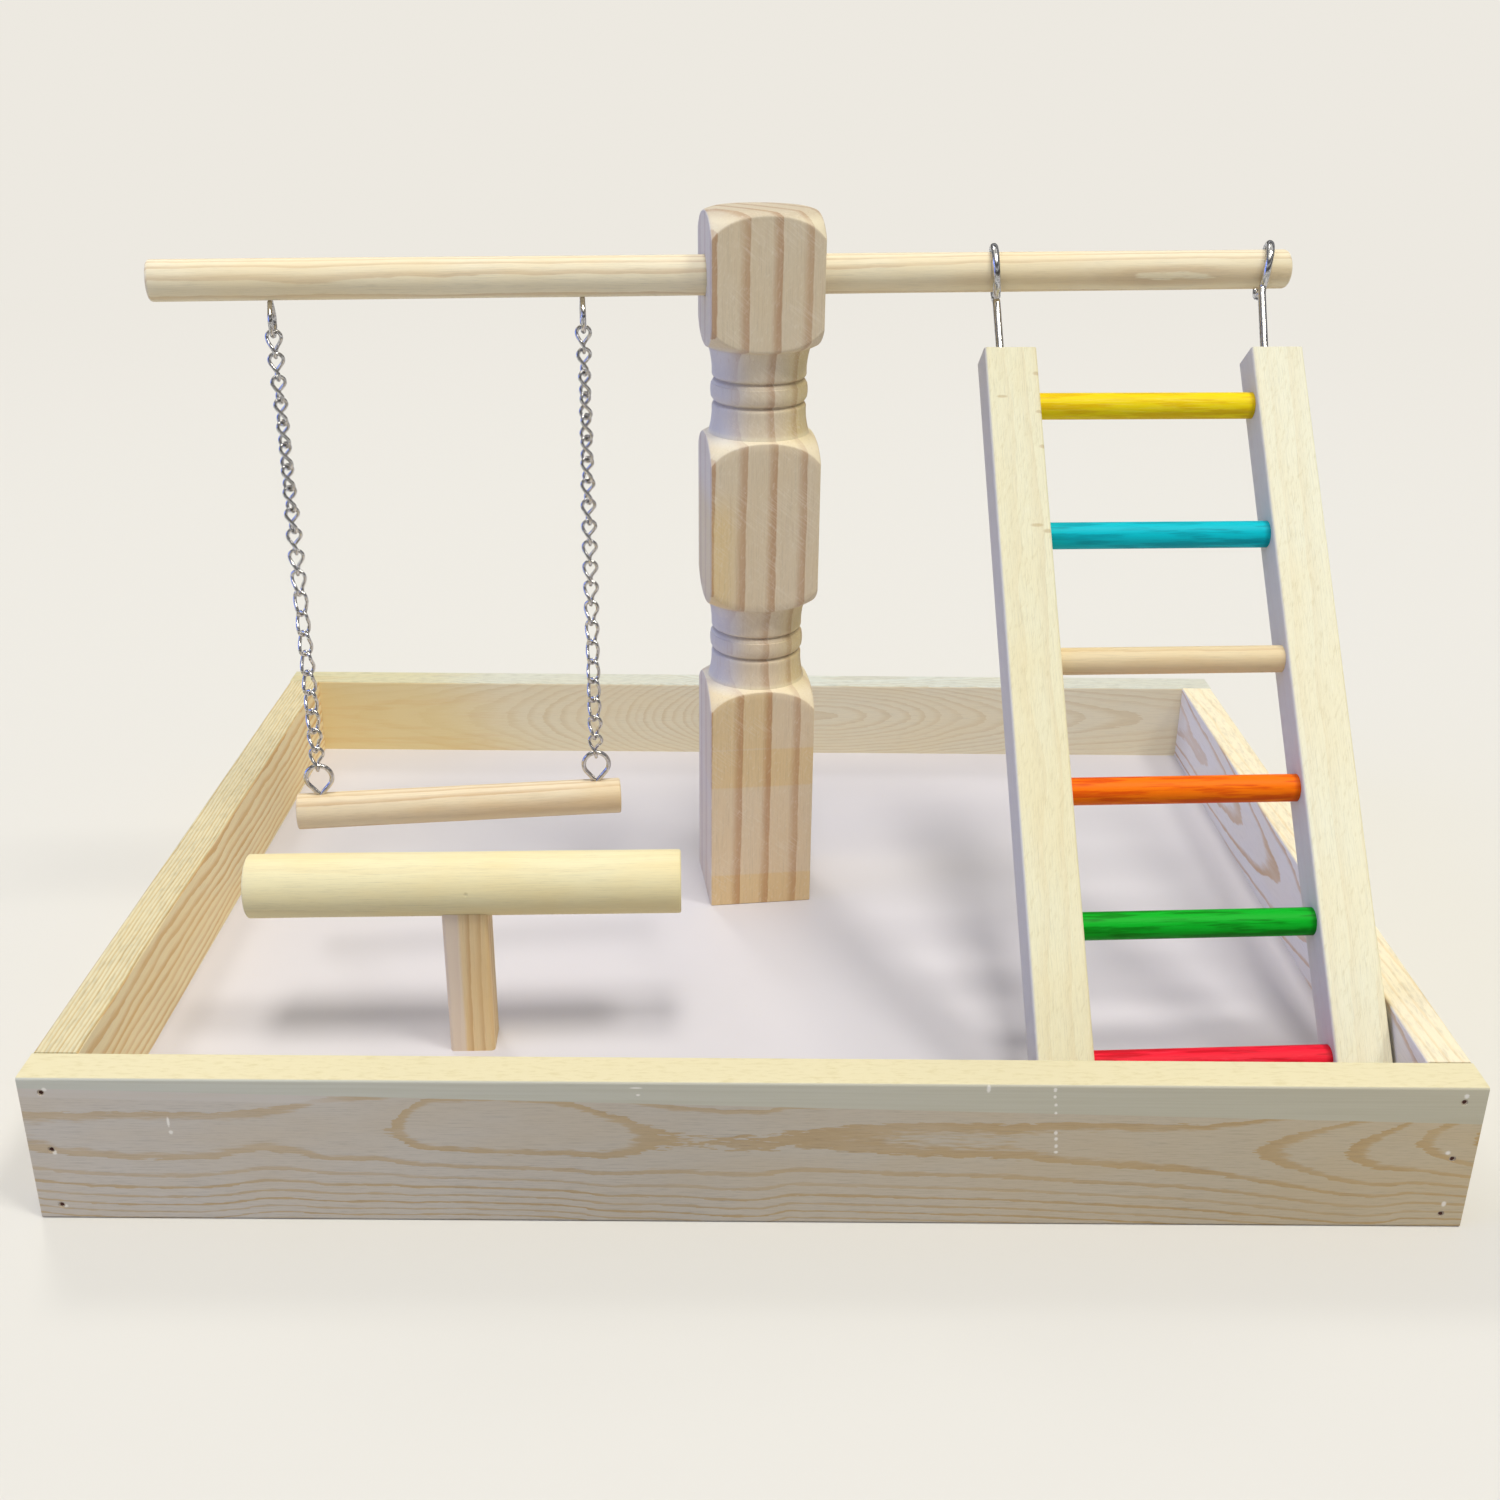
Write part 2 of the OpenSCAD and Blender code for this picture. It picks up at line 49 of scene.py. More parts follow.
# Tray, post and top perch, in millimetres
BOARD_LONG = 596
BOARD_FRONT = -231
SIDE_BOARD_LONG = 430
FLOOR_TOP = 22.5
POST = Vector((1.2, 33.8, 0))
POST_TURN = math.radians(8)
POST_W = 54.5
POST_MID_Z = 200
PERCH_Z = 351.6
PERCH_R = 9.525
PERCH_LEFT = 284.5
PERCH_RIGHT = 267.0
ALONG = Vector((math.cos(POST_TURN), math.sin(POST_TURN), 0))
ACROSS = Vector((-math.sin(POST_TURN), math.cos(POST_TURN), 0))

# Blocks of the post as heights above the floor, with the necks between them
BLOCKS = ((0, 123), (166.9, 252.4), (296.3, 358.8))
NECK_LONG = 43.9
NECK_R = 23.3
NECK_SWELL = 0.85
FLARE_R = 23.4
FLARE_LONG = 11.6
GROOVES = (16.25, 27.65)
GROOVE_RIM, GROOVE_SIDE = 0.15, 2.2
GROOVE_PROFILE = ((-1.5, 0.05), (-0.9, 0.45), (-0.35, 1.25), (0, 1.5), (0.35, 1.25), (0.9, 0.45), (1.5, 0.05))
SHOULDER_IN, SHOULDER_OUT = Vector((25.2, 0.9)), Vector((38.6, -11.06))
CROWN_IN, CROWN_OUT = Vector((23, 360.1)), Vector((38.54, 347.8))
ARCH_R = 21.5
CORNER_EASE = 1.0
EDGE_WORN = 0.18
EDGE_RIM = 0.45
BORE_PLAY = 0.3
BAR_UNEVEN = 0.06

# Chain swing
SWING_MID = POST - ALONG * 158.3
SWING_Z = 78.95
SWING_HALF = 85
CHAIN_APART = 72.5
CHAIN_TOP = 328.375
LINKS = 21
LINK_STEP = 10.68
LINK_R, LINK_LEG, LINK_WIRE = 3.45, 2.85, 0.9
# a slow twist of each chain along its length, in degrees: once through, and twice as fast
CHAIN_TWIST = {-1: (52, 0), 1: (44, 14)}

# T-shaped perch
T_ROD_TURN = math.radians(2.4)
T_ROD_WAY = Vector((math.cos(T_ROD_TURN), math.sin(T_ROD_TURN), 0))
T_ROD_MID = Vector((-130.4, -128, 105.1))
T_ROD_LEFT, T_ROD_RIGHT = 96.6, 97.4
T_ROD_R = 14.5

# Ladder: where its left hook hangs, and the rail's top from there in the ladder's own directions
LADDER_TURN = math.radians(3.4)
LADDER_SLOPE = math.radians(38.3075)
LADDER_AT = Vector((117.18, 50.1, 350.525))
LADDER_HANG = Vector((3, 3.4, -42.8))
RAIL_LONG = 364.5
RUNG_MID = 65


def on_ladder(p):
    """From the middle of the left rail's top, in the ladder's own directions, to the shared frame."""
    p = Matrix.Rotation(-LADDER_SLOPE, 3, "X") @ (p + LADDER_HANG)
    return LADDER_AT + Matrix.Rotation(LADDER_TURN, 3, "Z") @ p


RAIL_TOP = on_ladder(Vector((0, 0, 0)))
RAIL_WAY = RAIL_TOP - on_ladder(Vector((0, 0, -1)))
RAIL_FACE = on_ladder(Vector((0, -1, 0))) - RAIL_TOP
RUNG_WAY = on_ladder(Vector((1, 0, 0))) - RAIL_TOP


# Materials

class Shader:
    """One material, built from plain node calls. Lengths in its coordinates are millimetres."""

    def __init__(self, name):
        self.material = bpy.data.materials.new(name)
        self.material.use_nodes = True
        self.tree = self.material.node_tree
        self.tree.nodes.clear()
        self.out = self.add("OutputMaterial")
        self.surface = self.add("BsdfPrincipled")
        self.tree.links.new(self.surface.outputs[0], self.out.inputs["Surface"])
        self.place = self.vector("SCALE", self.add("TexCoord").outputs["Object"], scale=1000)

    def add(self, kind):
        return self.tree.nodes.new("ShaderNode" + kind)

    def put(self, socket, value):
        if isinstance(value, bpy.types.NodeSocket):
            self.tree.links.new(value, socket)
        else:
            socket.default_value = value

    def math(self, operation, *values, clamp=False):
        n = self.add("Math")
        n.operation = operation
        n.use_clamp = clamp
        for i, v in enumerate(values):
            self.put(n.inputs[i], v)
        return n.outputs[0]

    def plus(self, a, b):
        return self.math("ADD", a, b)

    def minus(self, a, b):
        return self.math("SUBTRACT", a, b)

    def times(self, a, b):
        return self.math("MULTIPLY", a, b)

    def over(self, a, b):
        return self.math("DIVIDE", a, b)

    def line(self, value, factor, start, clamp=False):
        """The value times a factor, plus a start."""
        return self.math("MULTIPLY_ADD", value, factor, start, clamp=clamp)

    def distance(self, a, b):
        """Length of a way with two parts at a right angle."""
        return self.math("SQRT", self.plus(self.times(a, a), self.times(b, b)))

    def vector(self, operation, a, b=None, scale=None):
        n = self.add("VectorMath")
        n.operation = operation
        self.put(n.inputs[0], a)
        if b is not None:
            self.put(n.inputs[1], b)
        if scale is not None:
            self.put(n.inputs["Scale"], scale)
        return n.outputs["Value" if operation in ("DOT_PRODUCT", "LENGTH", "DISTANCE") else "Vector"]

    def part(self, where, way):
        """How far a vector goes in one direction."""
        return self.vector("DOT_PRODUCT", where, tuple(way))

    def join(self, x, y, z):
        n = self.add("CombineXYZ")
        for i, v in enumerate((x, y, z)):
            self.put(n.inputs[i], v)
        return n.outputs[0]

    def noise(self, where, detail=2.0, rough=0.5, scale=1.0):
        n = self.add("TexNoise")
        self.put(n.inputs["Vector"], where)
        self.put(n.inputs["Scale"], scale)
        self.put(n.inputs["Detail"], detail)
        self.put(n.inputs["Roughness"], rough)
        return n.outputs[0]

    def cloud(self, size, detail=1, rough=0.5):
        """Noise of the same size in every direction."""
        return self.noise(self.vector("SCALE", self.place, scale=1 / size), detail, rough)

    def uneven(self, noise, amount):
        """Noise about zero, in an amount."""
        return self.times(self.minus(noise, 0.5), amount)

    def follow_grain(self, centre, grain, face):
        """Sets u along the grain, w out of the face and v across it, all measured from a centre."""
        grain = Vector(grain).normalized()
        face = Vector(face)
        face = (face - grain * face.dot(grain)).normalized()
        local = self.vector("SUBTRACT", self.place, tuple(centre))
        self.u = self.part(local, grain)
        self.v = self.part(local, face.cross(grain))
        self.w = self.part(local, face)

    def grained(self, along, across, detail=2.0, rough=0.5, below=None):
        """Noise drawn out along the grain; its sizes along, across and below the face are millimetres."""
        where = self.join(self.times(self.u, 1 / along), self.times(self.v, 1 / across),
                          self.times(self.w, 1 / (below or across)))
        return self.noise(where, detail, rough)

    def ramp(self, value, stops, smooth=False):
        """Colours or greys at stops from 0 to 1."""
        n = self.add("ValToRGB")
        n.color_ramp.interpolation = "EASE" if smooth else "LINEAR"
        points = n.color_ramp.elements
        while len(points) > 1:
            points.remove(points[-1])
        points[0].position = stops[0][0]
        points[0].color = colour(stops[0][1])
        for at, c in stops[1:]:
            points.new(at).color = colour(c)
        self.put(n.inputs[0], value)
        return n.outputs[0]

    def bands(self, value, stops, smooth=False):
        """A ramp over a length, with its stops in millimetres."""
        start = stops[0][0]
        length = stops[-1][0] - start
        share = self.line(value, 1 / length, -start / length)
        return self.ramp(share, [((at - start) / length, c) for at, c in stops], smooth)

    def mix(self, share, a, b, mode="MIX"):
        n = self.add("Mix")
        n.data_type = "RGBA"
        n.blend_type = mode
        self.put(n.inputs[0], share)
        for i, v in ((6, a), (7, b)):
            self.put(n.inputs[i], v if isinstance(v, bpy.types.NodeSocket) else colour(v))
        return n.outputs[2]

    def tint(self, tone, factor, share=1.0):
        """The tone multiplied by a colour, by a share."""
        return self.mix(share, tone, factor, "MULTIPLY")

    def curve(self, value, points):
        n = self.add("FloatCurve")
        c = n.mapping.curves[0]
        for i, (x, y) in enumerate(points):
            if i < 2:
                c.points[i].location = (x, y)
            else:
                c.points.new(x, y)
        n.mapping.update()
        self.put(n.inputs["Value"], value)
        return n.outputs[0]

    def bend(self, value, length, high, points):
        """A smooth line over a length: points in millimetres from the middle, with shares of its height."""
        share = self.line(value, 1 / length, 0.5, clamp=True)
        return self.times(self.curve(share, [(x / length + 0.5, y) for x, y in points]), high)

    def bump(self, height, depth_mm):
        n = self.add("Bump")
        self.put(n.inputs["Distance"], depth_mm * MM)
        self.put(n.inputs["Height"], height)
        self.tree.links.new(n.outputs[0], self.surface.inputs["Normal"])

    def finish(self, tone, **values):
        self.put(self.surface.inputs["Base Color"], tone)
        for name, v in values.items():
            self.put(self.surface.inputs[name.replace("_", " ")], v)
        return self.material


def linear(v):
    return v / 12.92 if v <= 0.04045 else ((v + 0.055) / 1.055) ** 2.4


def colour(c):
    """A display colour, or a grey, as the linear value a node takes."""
    if isinstance(c, (int, float)):
        c = (c, c, c)
    return (linear(c[0]), linear(c[1]), linear(c[2]), 1.0)


def darker(c, factor):
    return tuple(factor * part for part in c)


def wood(name, centre, grain, face, pale, dark, ring=3.4, pith=(0, 30), lean=(0, 0), arch=None, swerve=None,
         tight=None, waver=5.0, line=0.8, fibre=0.5, blotch=0.5, late=(0.45, 0.86, 0.97), rag=0.35,
         rough=0.62, dents=(), paint=None, extra=None):
    """Sawn softwood: year rings round the tree's middle, cut by the piece's faces.

    `grain` is the way the fibres run, and `face` the way the main face looks. `ring` is a year's width, and
    `late` says where its dark wood starts, peaks and ends. `pith` is the tree's middle, across and below the
    face; `lean` tilts it, and `arch` and `swerve` bend it down and sideways. `tight` is the radius from which
    the rings grow denser, and how fast. `waver` and `rag` make the rings uneven, slowly and finely. `line`,
    `fibre` and `blotch` are the strengths of rings, fibres and warm patches. `dents` are places with sizes.
    `paint` is a stain's main, deep and worn tone. `extra` adds this piece's own marks to the tone."""
    s = Shader(name)
    s.follow_grain(centre, grain, face)
    sway = s.plus(s.uneven(s.grained(130, 60, 3), waver * 2.2), s.uneven(s.grained(46, 13), waver * 0.35))
    sway = s.plus(sway, s.uneven(s.grained(9, 1.1), rag * 2))
    across = s.minus(s.line(s.u, lean[0], s.v), pith[0])
    below = s.plus(s.line(s.u, lean[1], s.w), pith[1])
    if arch:
        below = s.plus(below, s.bend(s.u, *arch))
    if swerve:
        across = s.minus(across, s.bend(s.u, *swerve))
    far = s.plus(s.distance(across, below), sway)
    turns = s.over(far, ring)
    if tight:
        past = s.math("MAXIMUM", s.minus(far, tight[0]), 0.0)
        turns = s.plus(turns, s.times(s.times(past, past), tight[1]))
    luck = s.add("TexWhiteNoise")
    luck.noise_dimensions = "1D"
    s.put(luck.inputs["W"], s.math("FLOOR", turns))
    starts, peaks, ends = late
    late_wood = s.ramp(s.math("FRACT", turns), [(0, 0), (starts, 0.1), (peaks, 0.95), (ends, 1.0), (1, 0.0)])
    strength = s.line(luck.outputs["Value"], 0.5, 0.5)
    strength = s.times(strength, s.line(s.grained(60, 9), 1.3, 0.35, clamp=True))
    tone = s.mix(s.times(s.times(late_wood, strength), line), pale, dark)
    fibres = s.plus(s.times(s.grained(16, 0.5, 3, 0.6), 0.6), s.times(s.grained(5, 0.22, 2, 0.6), 0.4))
    tone = s.tint(tone, s.ramp(fibres, [(0.3, 0.84), (0.5, 0.98), (0.72, 1.0)]), fibre)
    broad = s.grained(85, 30, 3, 0.55)
    warm = tuple(min(1, p * k) for p, k in zip(pale, (1.0, 0.94, 0.82)))
    tone = s.mix(s.times(s.ramp(broad, [(0.35, 0), (0.7, 1)], True), blotch), tone, warm)
    height = s.minus(fibres, s.times(late_wood, 0.25))
    for at, size in dents:
        near = s.over(s.vector("DISTANCE", s.place, at), size)
        pit = s.ramp(near, [(0, 1), (0.5, 0.7), (1, 0)], True)
        height = s.minus(height, s.times(pit, 6.0))
        tone = s.mix(s.times(pit, 0.45), tone, darker(dark, 0.78))
    if extra:
        tone = extra(s, tone, fibres)
    if paint:
        tone = stained(s, fibres, late_wood, broad, *paint)
    s.bump(height, 0.05)
    shine = 0.12 if paint else 0.3
    return s.finish(tone, Roughness=s.line(broad, 0.14, rough - 0.07), Specular_IOR_Level=shine)


def stained(s, fibres, late_wood, broad, main, deep, worn):
    """A rung's stain: streaks of a deeper tone, worn fibres, and painted shade at the right end, where the
    rung goes into the rail.
    """
    bare = s.ramp(s.plus(fibres, s.times(late_wood, 0.16)), [(0.32, 1), (0.5, 0.15), (0.62, 0), (0.8, 0.5)])
    streaks = s.plus(s.uneven(s.grained(26, 2.2, 3), 1.6), broad)
    tone = s.mix(s.ramp(streaks, [(0.34, 0), (0.62, 1)], True), main, deep)
    tone = s.mix(s.times(bare, 0.4), tone, worn)
    # painted shade at the right end, where the rung goes into the rail's hole
    return s.mix(s.bands(s.u, [(50.4, 0), (52.2, 0.8)]), tone, darker(deep, 0.8))


def metal(name, tone, rough, scuff):
    s = Shader(name)
    worn = s.ramp(s.noise(s.place, 4, 0.6, scale=0.7), [(0.42, 0), (0.72, 1)])
    shade = s.mix(s.times(worn, scuff), tone, darker(tone, 0.62))
    s.bump(s.noise(s.place, 3, 0.6, scale=2.2), 0.04)
    return s.finish(shade, Metallic=1.0, Roughness=s.line(worn, 0.14, rough))


BRAD_X = 288.75
BRAD_LOW, BRAD_STEP = 7, 28


def brad_heads():
    """Brads set in the front and back boards: dark in the middle, with crushed wood fibres round the rim."""
    s = Shader("brad_head_steel")
    x = s.minus(s.math("ABSOLUTE", s.part(s.place, (1, 0, 0))), BRAD_X)
    z = s.math("PINGPONG", s.plus(s.part(s.place, UP), BRAD_STEP - BRAD_LOW), BRAD_STEP / 2)
    out = s.plus(s.uneven(s.noise(s.place, 2, 0.5), 0.8), s.distance(x, z))
    rim = s.ramp(s.over(out, 2), [(0.38, 0), (0.5, 1)])
    tone = s.mix(rim, (0.30, 0.20, 0.18), (0.72, 0.66, 0.57))
    s.bump(s.noise(s.place, 3, 0.6, scale=2.2), 0.04)
    return s.finish(tone, Metallic=s.minus(1, rim), Roughness=0.55)


def floor_facing():
    """White facing with a faint cool cast and a few crumbs of sawdust."""
    s = Shader("floor_facing")
    tone = s.mix(s.cloud(60, 3), (0.803, 0.789, 0.80), (0.818, 0.804, 0.811))
    crumbs = s.ramp(s.cloud(1.2), [(0.74, 0), (0.78, 1)])
    tone = s.mix(s.times(crumbs, 0.25), tone, (0.83, 0.76, 0.64))
    s.bump(s.cloud(3, 4, 0.6), 0.02)
    return s.finish(tone, Roughness=0.42, Specular_IOR_Level=0.4)


# Marks of the single pieces

# torn pale fibres on the front board, each a place with a width and a height: at the brads, in three dents,
# and in a dotted row
TORN = [((x, BOARD_FRONT, z), wide, tall) for x, z, wide, tall in (
    (-287.2, 64.6, 1.3, 1.0), (-287.6, 33.6, 1.2, 1.4), (-287.2, 6.4, 1.3, 1.0),
    (289.2, 66, 1.3, 1.4), (286.4, 38, 1.4, 1.2), (289.2, 12, 1.2, 1.6),
    (-239, 49.1, 0.7, 3.0), (-238.5, 44.1, 1.1, 1.2), (-47.8, 67.2, 3.0, 0.5), (-47, 63.8, 1.1, 0.6),
    (95, 68, 1.0, 2.2), (122, 67.6, 0.9, 1.3), (122.1, 64.3, 0.8, 1.1), (122.8, 60.4, 0.8, 1.0),
    (123.1, 56.4, 0.7, 0.9), (123.9, 46.6, 0.9, 1.3), (124.2, 43.6, 1.0, 1.1), (124.5, 40.1, 0.9, 1.2),
    (124.7, 37.1, 1.0, 0.8))]


def front_marks(s, tone, fibres):
    """The front board: painted light, cool at the left and warm at the right, a strip of straight grain glued
    on above, a yellower top edge, and torn spots.
    """
    left, right = -BOARD_LONG / 2, BOARD_LONG / 2
    # painted light: the face goes from cool at the left to warm at the right, as if lit from both sides
    tone = s.tint(tone, s.bands(s.u, [(left, (0.99, 0.995, 1.0)), (-29.8, (0.96, 0.955, 0.93)),
                                      (right, (0.99, 0.95, 0.835))]))
    joint = s.line(s.u, -0.0212, 23.2)
    above = s.minus(s.v, s.plus(joint, s.times(fibres, 0.8)))
    # no dark line just below the strip at the left
    plain = s.times(s.bands(s.u, [(-184.8, 1), (-160.9, 0)]), s.bands(above, [(-4.5, 0), (-3.5, 0.95)]))
    tone = s.mix(plain, tone, (0.80, 0.77, 0.725))
    lines = s.ramp(s.grained(90, 1.3), [(0.35, 0.5), (0.6, 0)])
    strip_tone = s.mix(lines, (0.785, 0.785, 0.735), (0.70, 0.685, 0.60))
    # painted light: the strip warms towards the right
    strip_tone = s.tint(strip_tone, s.bands(s.u, [(left, (1.0, 1.0, 1.0)), (right, (0.985, 0.95, 0.875))]))
    tone = s.mix(s.bands(above, [(-0.1, 0), (0.24, 1)]), tone, strip_tone)
    specks = s.ramp(s.grained(7, 1, 3, 0.6, below=1.6), [(0.3, 0.7), (0.5, 0.1), (0.8, 0)])
    top_tone = s.mix(specks, (0.865, 0.825, 0.67), (0.78, 0.725, 0.52))
    tone = s.mix(s.bands(s.v, [(34.65, 0), (34.9, 1)]), tone, top_tone)
    for at, wide, tall in TORN:
        away = s.vector("MULTIPLY", s.vector("SUBTRACT", s.place, at), (1 / wide, 0.2, 1 / tall))
        ragged = s.plus(s.vector("LENGTH", away), s.uneven(fibres, 1.6))
        tone = s.mix(s.ramp(ragged, [(0.5, 0.85), (1.0, 0)]), tone, (0.985, 0.965, 0.92))
    return tone


def top_edge(factor, calm=None):
    """A board's top edge: another tone, and fainter lines where a calm tone is given."""
    def marks(s, tone, fibres):
        top = s.bands(s.part(s.place, UP), [(69.3, 0), (69.6, 1)])
        specks = s.ramp(s.grained(8, 1.7, 3, 0.6), [(0.3, 0.92), (0.55, 1.0)])
        lid = s.mix(0.7, tone, calm) if calm else tone
        return s.mix(top, tone, s.tint(s.tint(lid, factor), specks))
    return marks


def back_marks(s, tone, fibres):
    """The back board: golden and streaked at its left, pale and grey elsewhere, with a greyer top edge."""
    slanted = s.plus(s.line(s.v, 0.715, s.u), s.uneven(fibres, 95.4))
    left = s.bands(slanted, [(-298, 1), (-214.6, 0.95), (-137.1, 0.4), (-11.9, 0)], True)
    streak = s.ramp(s.grained(70, 7), [(0.5, 0), (0.62, 0.6), (0.75, 0.1)], True)
    golden = s.mix(streak, (0.915, 0.83, 0.595), (0.88, 0.72, 0.43))
    tone = s.mix(s.times(left, 0.85), tone, golden)
    return top_edge((0.885, 0.93, 0.985))(s, tone, fibres)


def post_marks(s, tone, fibres):
    """The post: golden bands, painted cool light on its left sides and painted warm light at the right of the
    necks, pale bevels, painted shade darkening the grooves, and a sawn skin.
    """
    z = s.plus(s.u, POST_MID_Z)
    tone = s.tint(tone, s.bands(z, [(27.2, (1.0, 0.975, 0.956)), (200, (0.965, 0.965, 0.964)),
                                    (380, (0.957, 0.964, 0.964))]))
    # golden bands on the lowest block's front
    wavy = s.plus(z, s.uneven(fibres, 1.5))
    golden = s.bands(wavy, [(40, 1), (41.2, 0), (91.6, 0), (92.8, 1), (113.2, 1), (114.4, 0)])
    upper = s.bands(wavy, [(113.6, 0), (114.8, 1), (144, 1), (148, 0)])
    golden = s.math("MAXIMUM", golden, s.times(upper, s.bands(s.v, [(-6, 0), (-3, 1)], True)))
    golden = s.times(golden, s.ramp(s.w, [(0, 0), (1, 1)]))
    tone = s.tint(tone, (1.0, 0.965, 0.86), s.times(golden, 0.8))
    # necks: tan all round, painted warm light at the right, and painted cool light at the left, as on the
    # blocks' left faces
    neck = s.bands(z, [(143.2, 0), (148, 1), (187.2, 1), (192, 0),
                       (272, 0), (276.8, 1), (316.8, 1), (321.6, 0)])
    tone = s.mix(s.times(neck, 0.22), tone, (0.86, 0.80, 0.71))
    tone = s.tint(tone, (1.0, 0.985, 0.86), s.times(neck, s.bands(s.v, [(-19, 1), (-4, 0)], True)))
    cool = s.times(s.times(neck, s.bands(s.v, [(6, 0), (21, 1)], True)), 0.8)
    # painted cool light on the blocks' left faces
    flank_light = s.bands(s.v, [(26.64, 0), (27, 0.75)])
    tone = s.mix(s.math("MAXIMUM", cool, flank_light), tone, (0.84, 0.84, 0.865))
    # turned bevels at the shoulders and the crown
    outward = s.math("MAXIMUM", s.math("ABSOLUTE", s.v), s.math("ABSOLUTE", s.w))
    turned = s.bands(z, [(120, 0), (124, 1), (147.2, 1), (148.8, 0),
                         (252, 0), (256, 1), (276.8, 1), (278.4, 0),
                         (362, 0), (366, 1), (378.8, 1), (381.2, 0)])
    tone = s.mix(s.times(s.bands(outward, [(26.8, 0.6), (27.1, 0)]), turned), tone, (0.985, 0.96, 0.83))
    # a yellow stain at the left of the middle block
    stain = s.times(s.bands(s.v, [(10.8, 0), (21.6, 0.9)], True),
                    s.bands(z, [(180, 0), (200, 1), (234, 1), (256, 0)], True))
    tone = s.tint(tone, (1.03, 0.99, 0.86), stain)
    # painted shade darkening the two grooves in each neck
    for _, high in BLOCKS[:2]:
        for groove in GROOVES:
            near = s.math("ABSOLUTE", s.minus(z, FLOOR_TOP + high + groove))
            tone = s.mix(s.bands(near, [(0.36, 0.6), (1.35, 0)], True), tone, (0.52, 0.42, 0.33))
    tone = s.tint(tone, (0.90, 0.91, 0.92), s.times(s.bands(z, [(378.5, 0), (381.5, 1)]), 0.6))
    # slanting saw scratches in patches, short dark streaks, and a pale fuzz
    across = s.plus(s.times(s.v, 1.1), s.times(s.u, -1.3))
    scored = s.noise(s.join(across, s.line(s.u, 0.06, s.times(s.v, 0.07)), s.w), 2, 0.5)
    scratch = s.times(s.ramp(scored, [(0.5, 0), (0.66, 0.5)]), s.ramp(s.cloud(22), [(0.42, 0.15), (0.6, 1)]))
    tone = s.mix(scratch, tone, (0.95, 0.91, 0.84))
    tone = s.mix(s.ramp(s.grained(26, 1.3), [(0.62, 0), (0.7, 0.4)]), tone, (0.68, 0.54, 0.41))
    across = s.line(s.v, 0.9, s.times(s.u, 0.35))
    fuzz = s.noise(s.join(across, s.times(s.w, 0.8), s.times(s.u, 0.3)), 3, 0.65)
    return s.mix(s.ramp(fuzz, [(0.55, 0), (0.72, 0.5)]), tone, (0.955, 0.925, 0.86))


def t_post_marks(s, tone, fibres):
    """The square post's left third is paler and greyer."""
    edge = s.plus(s.v, s.uneven(fibres, 2.0))
    pale = s.times(s.bands(edge, [(3.2, 0), (4.4, 1)]), 0.8)
    return s.mix(pale, tone, (0.90, 0.84, 0.78))


def rail_marks(spots=()):
    """A ladder rail: short pale and tan flecks, small brown dents at one edge, and painted cool light on its
    left side.
    """
    def marks(s, tone, fibres):
        slant = s.line(s.u, 0.3, s.v)
        flecks = s.noise(s.join(s.times(s.u, 1 / 5), s.times(slant, 1 / 1.5), s.times(s.w, 1 / 1.5)), 4, 0.65)
        fleck_tone = s.mix(s.ramp(flecks, [(0.49, 0), (0.51, 1)]), (0.81, 0.76, 0.58), (0.975, 0.955, 0.86))
        tone = s.mix(s.ramp(flecks, [(0.32, 0.6), (0.46, 0), (0.58, 0), (0.7, 0.5)]), tone, fleck_tone)
        for at, wide, tall in spots:
            away = s.vector("SUBTRACT", s.place, tuple(on_ladder(Vector(at))))
            out = s.distance(s.over(s.part(away, RUNG_WAY), wide), s.over(s.part(away, RAIL_WAY), tall))
            tone = s.mix(s.ramp(out, [(0.4, 0.75), (1.0, 0)], True), tone, (0.74, 0.64, 0.44))
        # painted light: the left side is greyed and cooled, as if lit by the window
        return s.mix(s.bands(s.v, [(11.6, 0), (12.32, 0.85)]), tone, (0.80, 0.79, 0.805))
    return marks


# Woods of this stand

FRONT_WOOD = wood(
    "front_board_pine", (0, BOARD_FRONT, 35), (1, 0, 0), (0, -1, 0), (0.81, 0.775, 0.725),
    (0.765, 0.665, 0.515), ring=38 / 11, pith=(0, 20), fibre=0.85, tight=(41.5, 0.0045), waver=0.45, rag=0.6,
    line=1.1, blotch=0.25, late=(0.70, 0.80, 0.985), extra=front_marks,
    arch=(BOARD_LONG, 21, [(-298, 0.9595), (-236, 0.937), (-199, 0.955), (-172, 0.875), (-152.5, 0.857),
                           (-128, 0.737), (-89, 0.722), (-60, 0.772), (-40, 0.838), (-28, 0.853), (0, 0.8515),
                           (18, 0.850), (40, 0.833), (77, 0.814), (111, 0.807), (126, 0.79), (164, 0.771),
                           (184, 0.752), (207, 0.69), (245, 0.524), (274.6, 0.357), (298, 0.19)]),
    swerve=(BOARD_LONG, 15, [(-298, 0.64), (-236, 0.487), (-199, 0.713), (-168, 0.75), (-146, 0.79),
                             (-125, 0.93), (-89, 0.88), (-60, 0.60), (-28, 0.427), (0, 0.333), (18, 0.527),
                             (77, 0.507), (126, 0.433), (164, 0.32), (207, 0.227), (245, 0.207), (274, 0.53),
                             (298, 0.67)]))
BACK_WOOD = wood(
    "back_board_pine", (0, 212, 46), (1, 0, 0), (0, -1, 0), (0.925, 0.89, 0.785), (0.86, 0.79, 0.65),
    ring=1.8, pith=(2, 13), waver=2.4, line=0.7, blotch=0.2, late=(0.5, 0.8, 0.97), extra=back_marks,
    arch=(BOARD_LONG, 44, [(-298, 1.0), (-200, 0.93), (-120, 0.72), (-50, 0.32), (0, 0.05), (40, 0.0),
                           (80, 0.06), (150, 0.28), (298, 0.5)]))
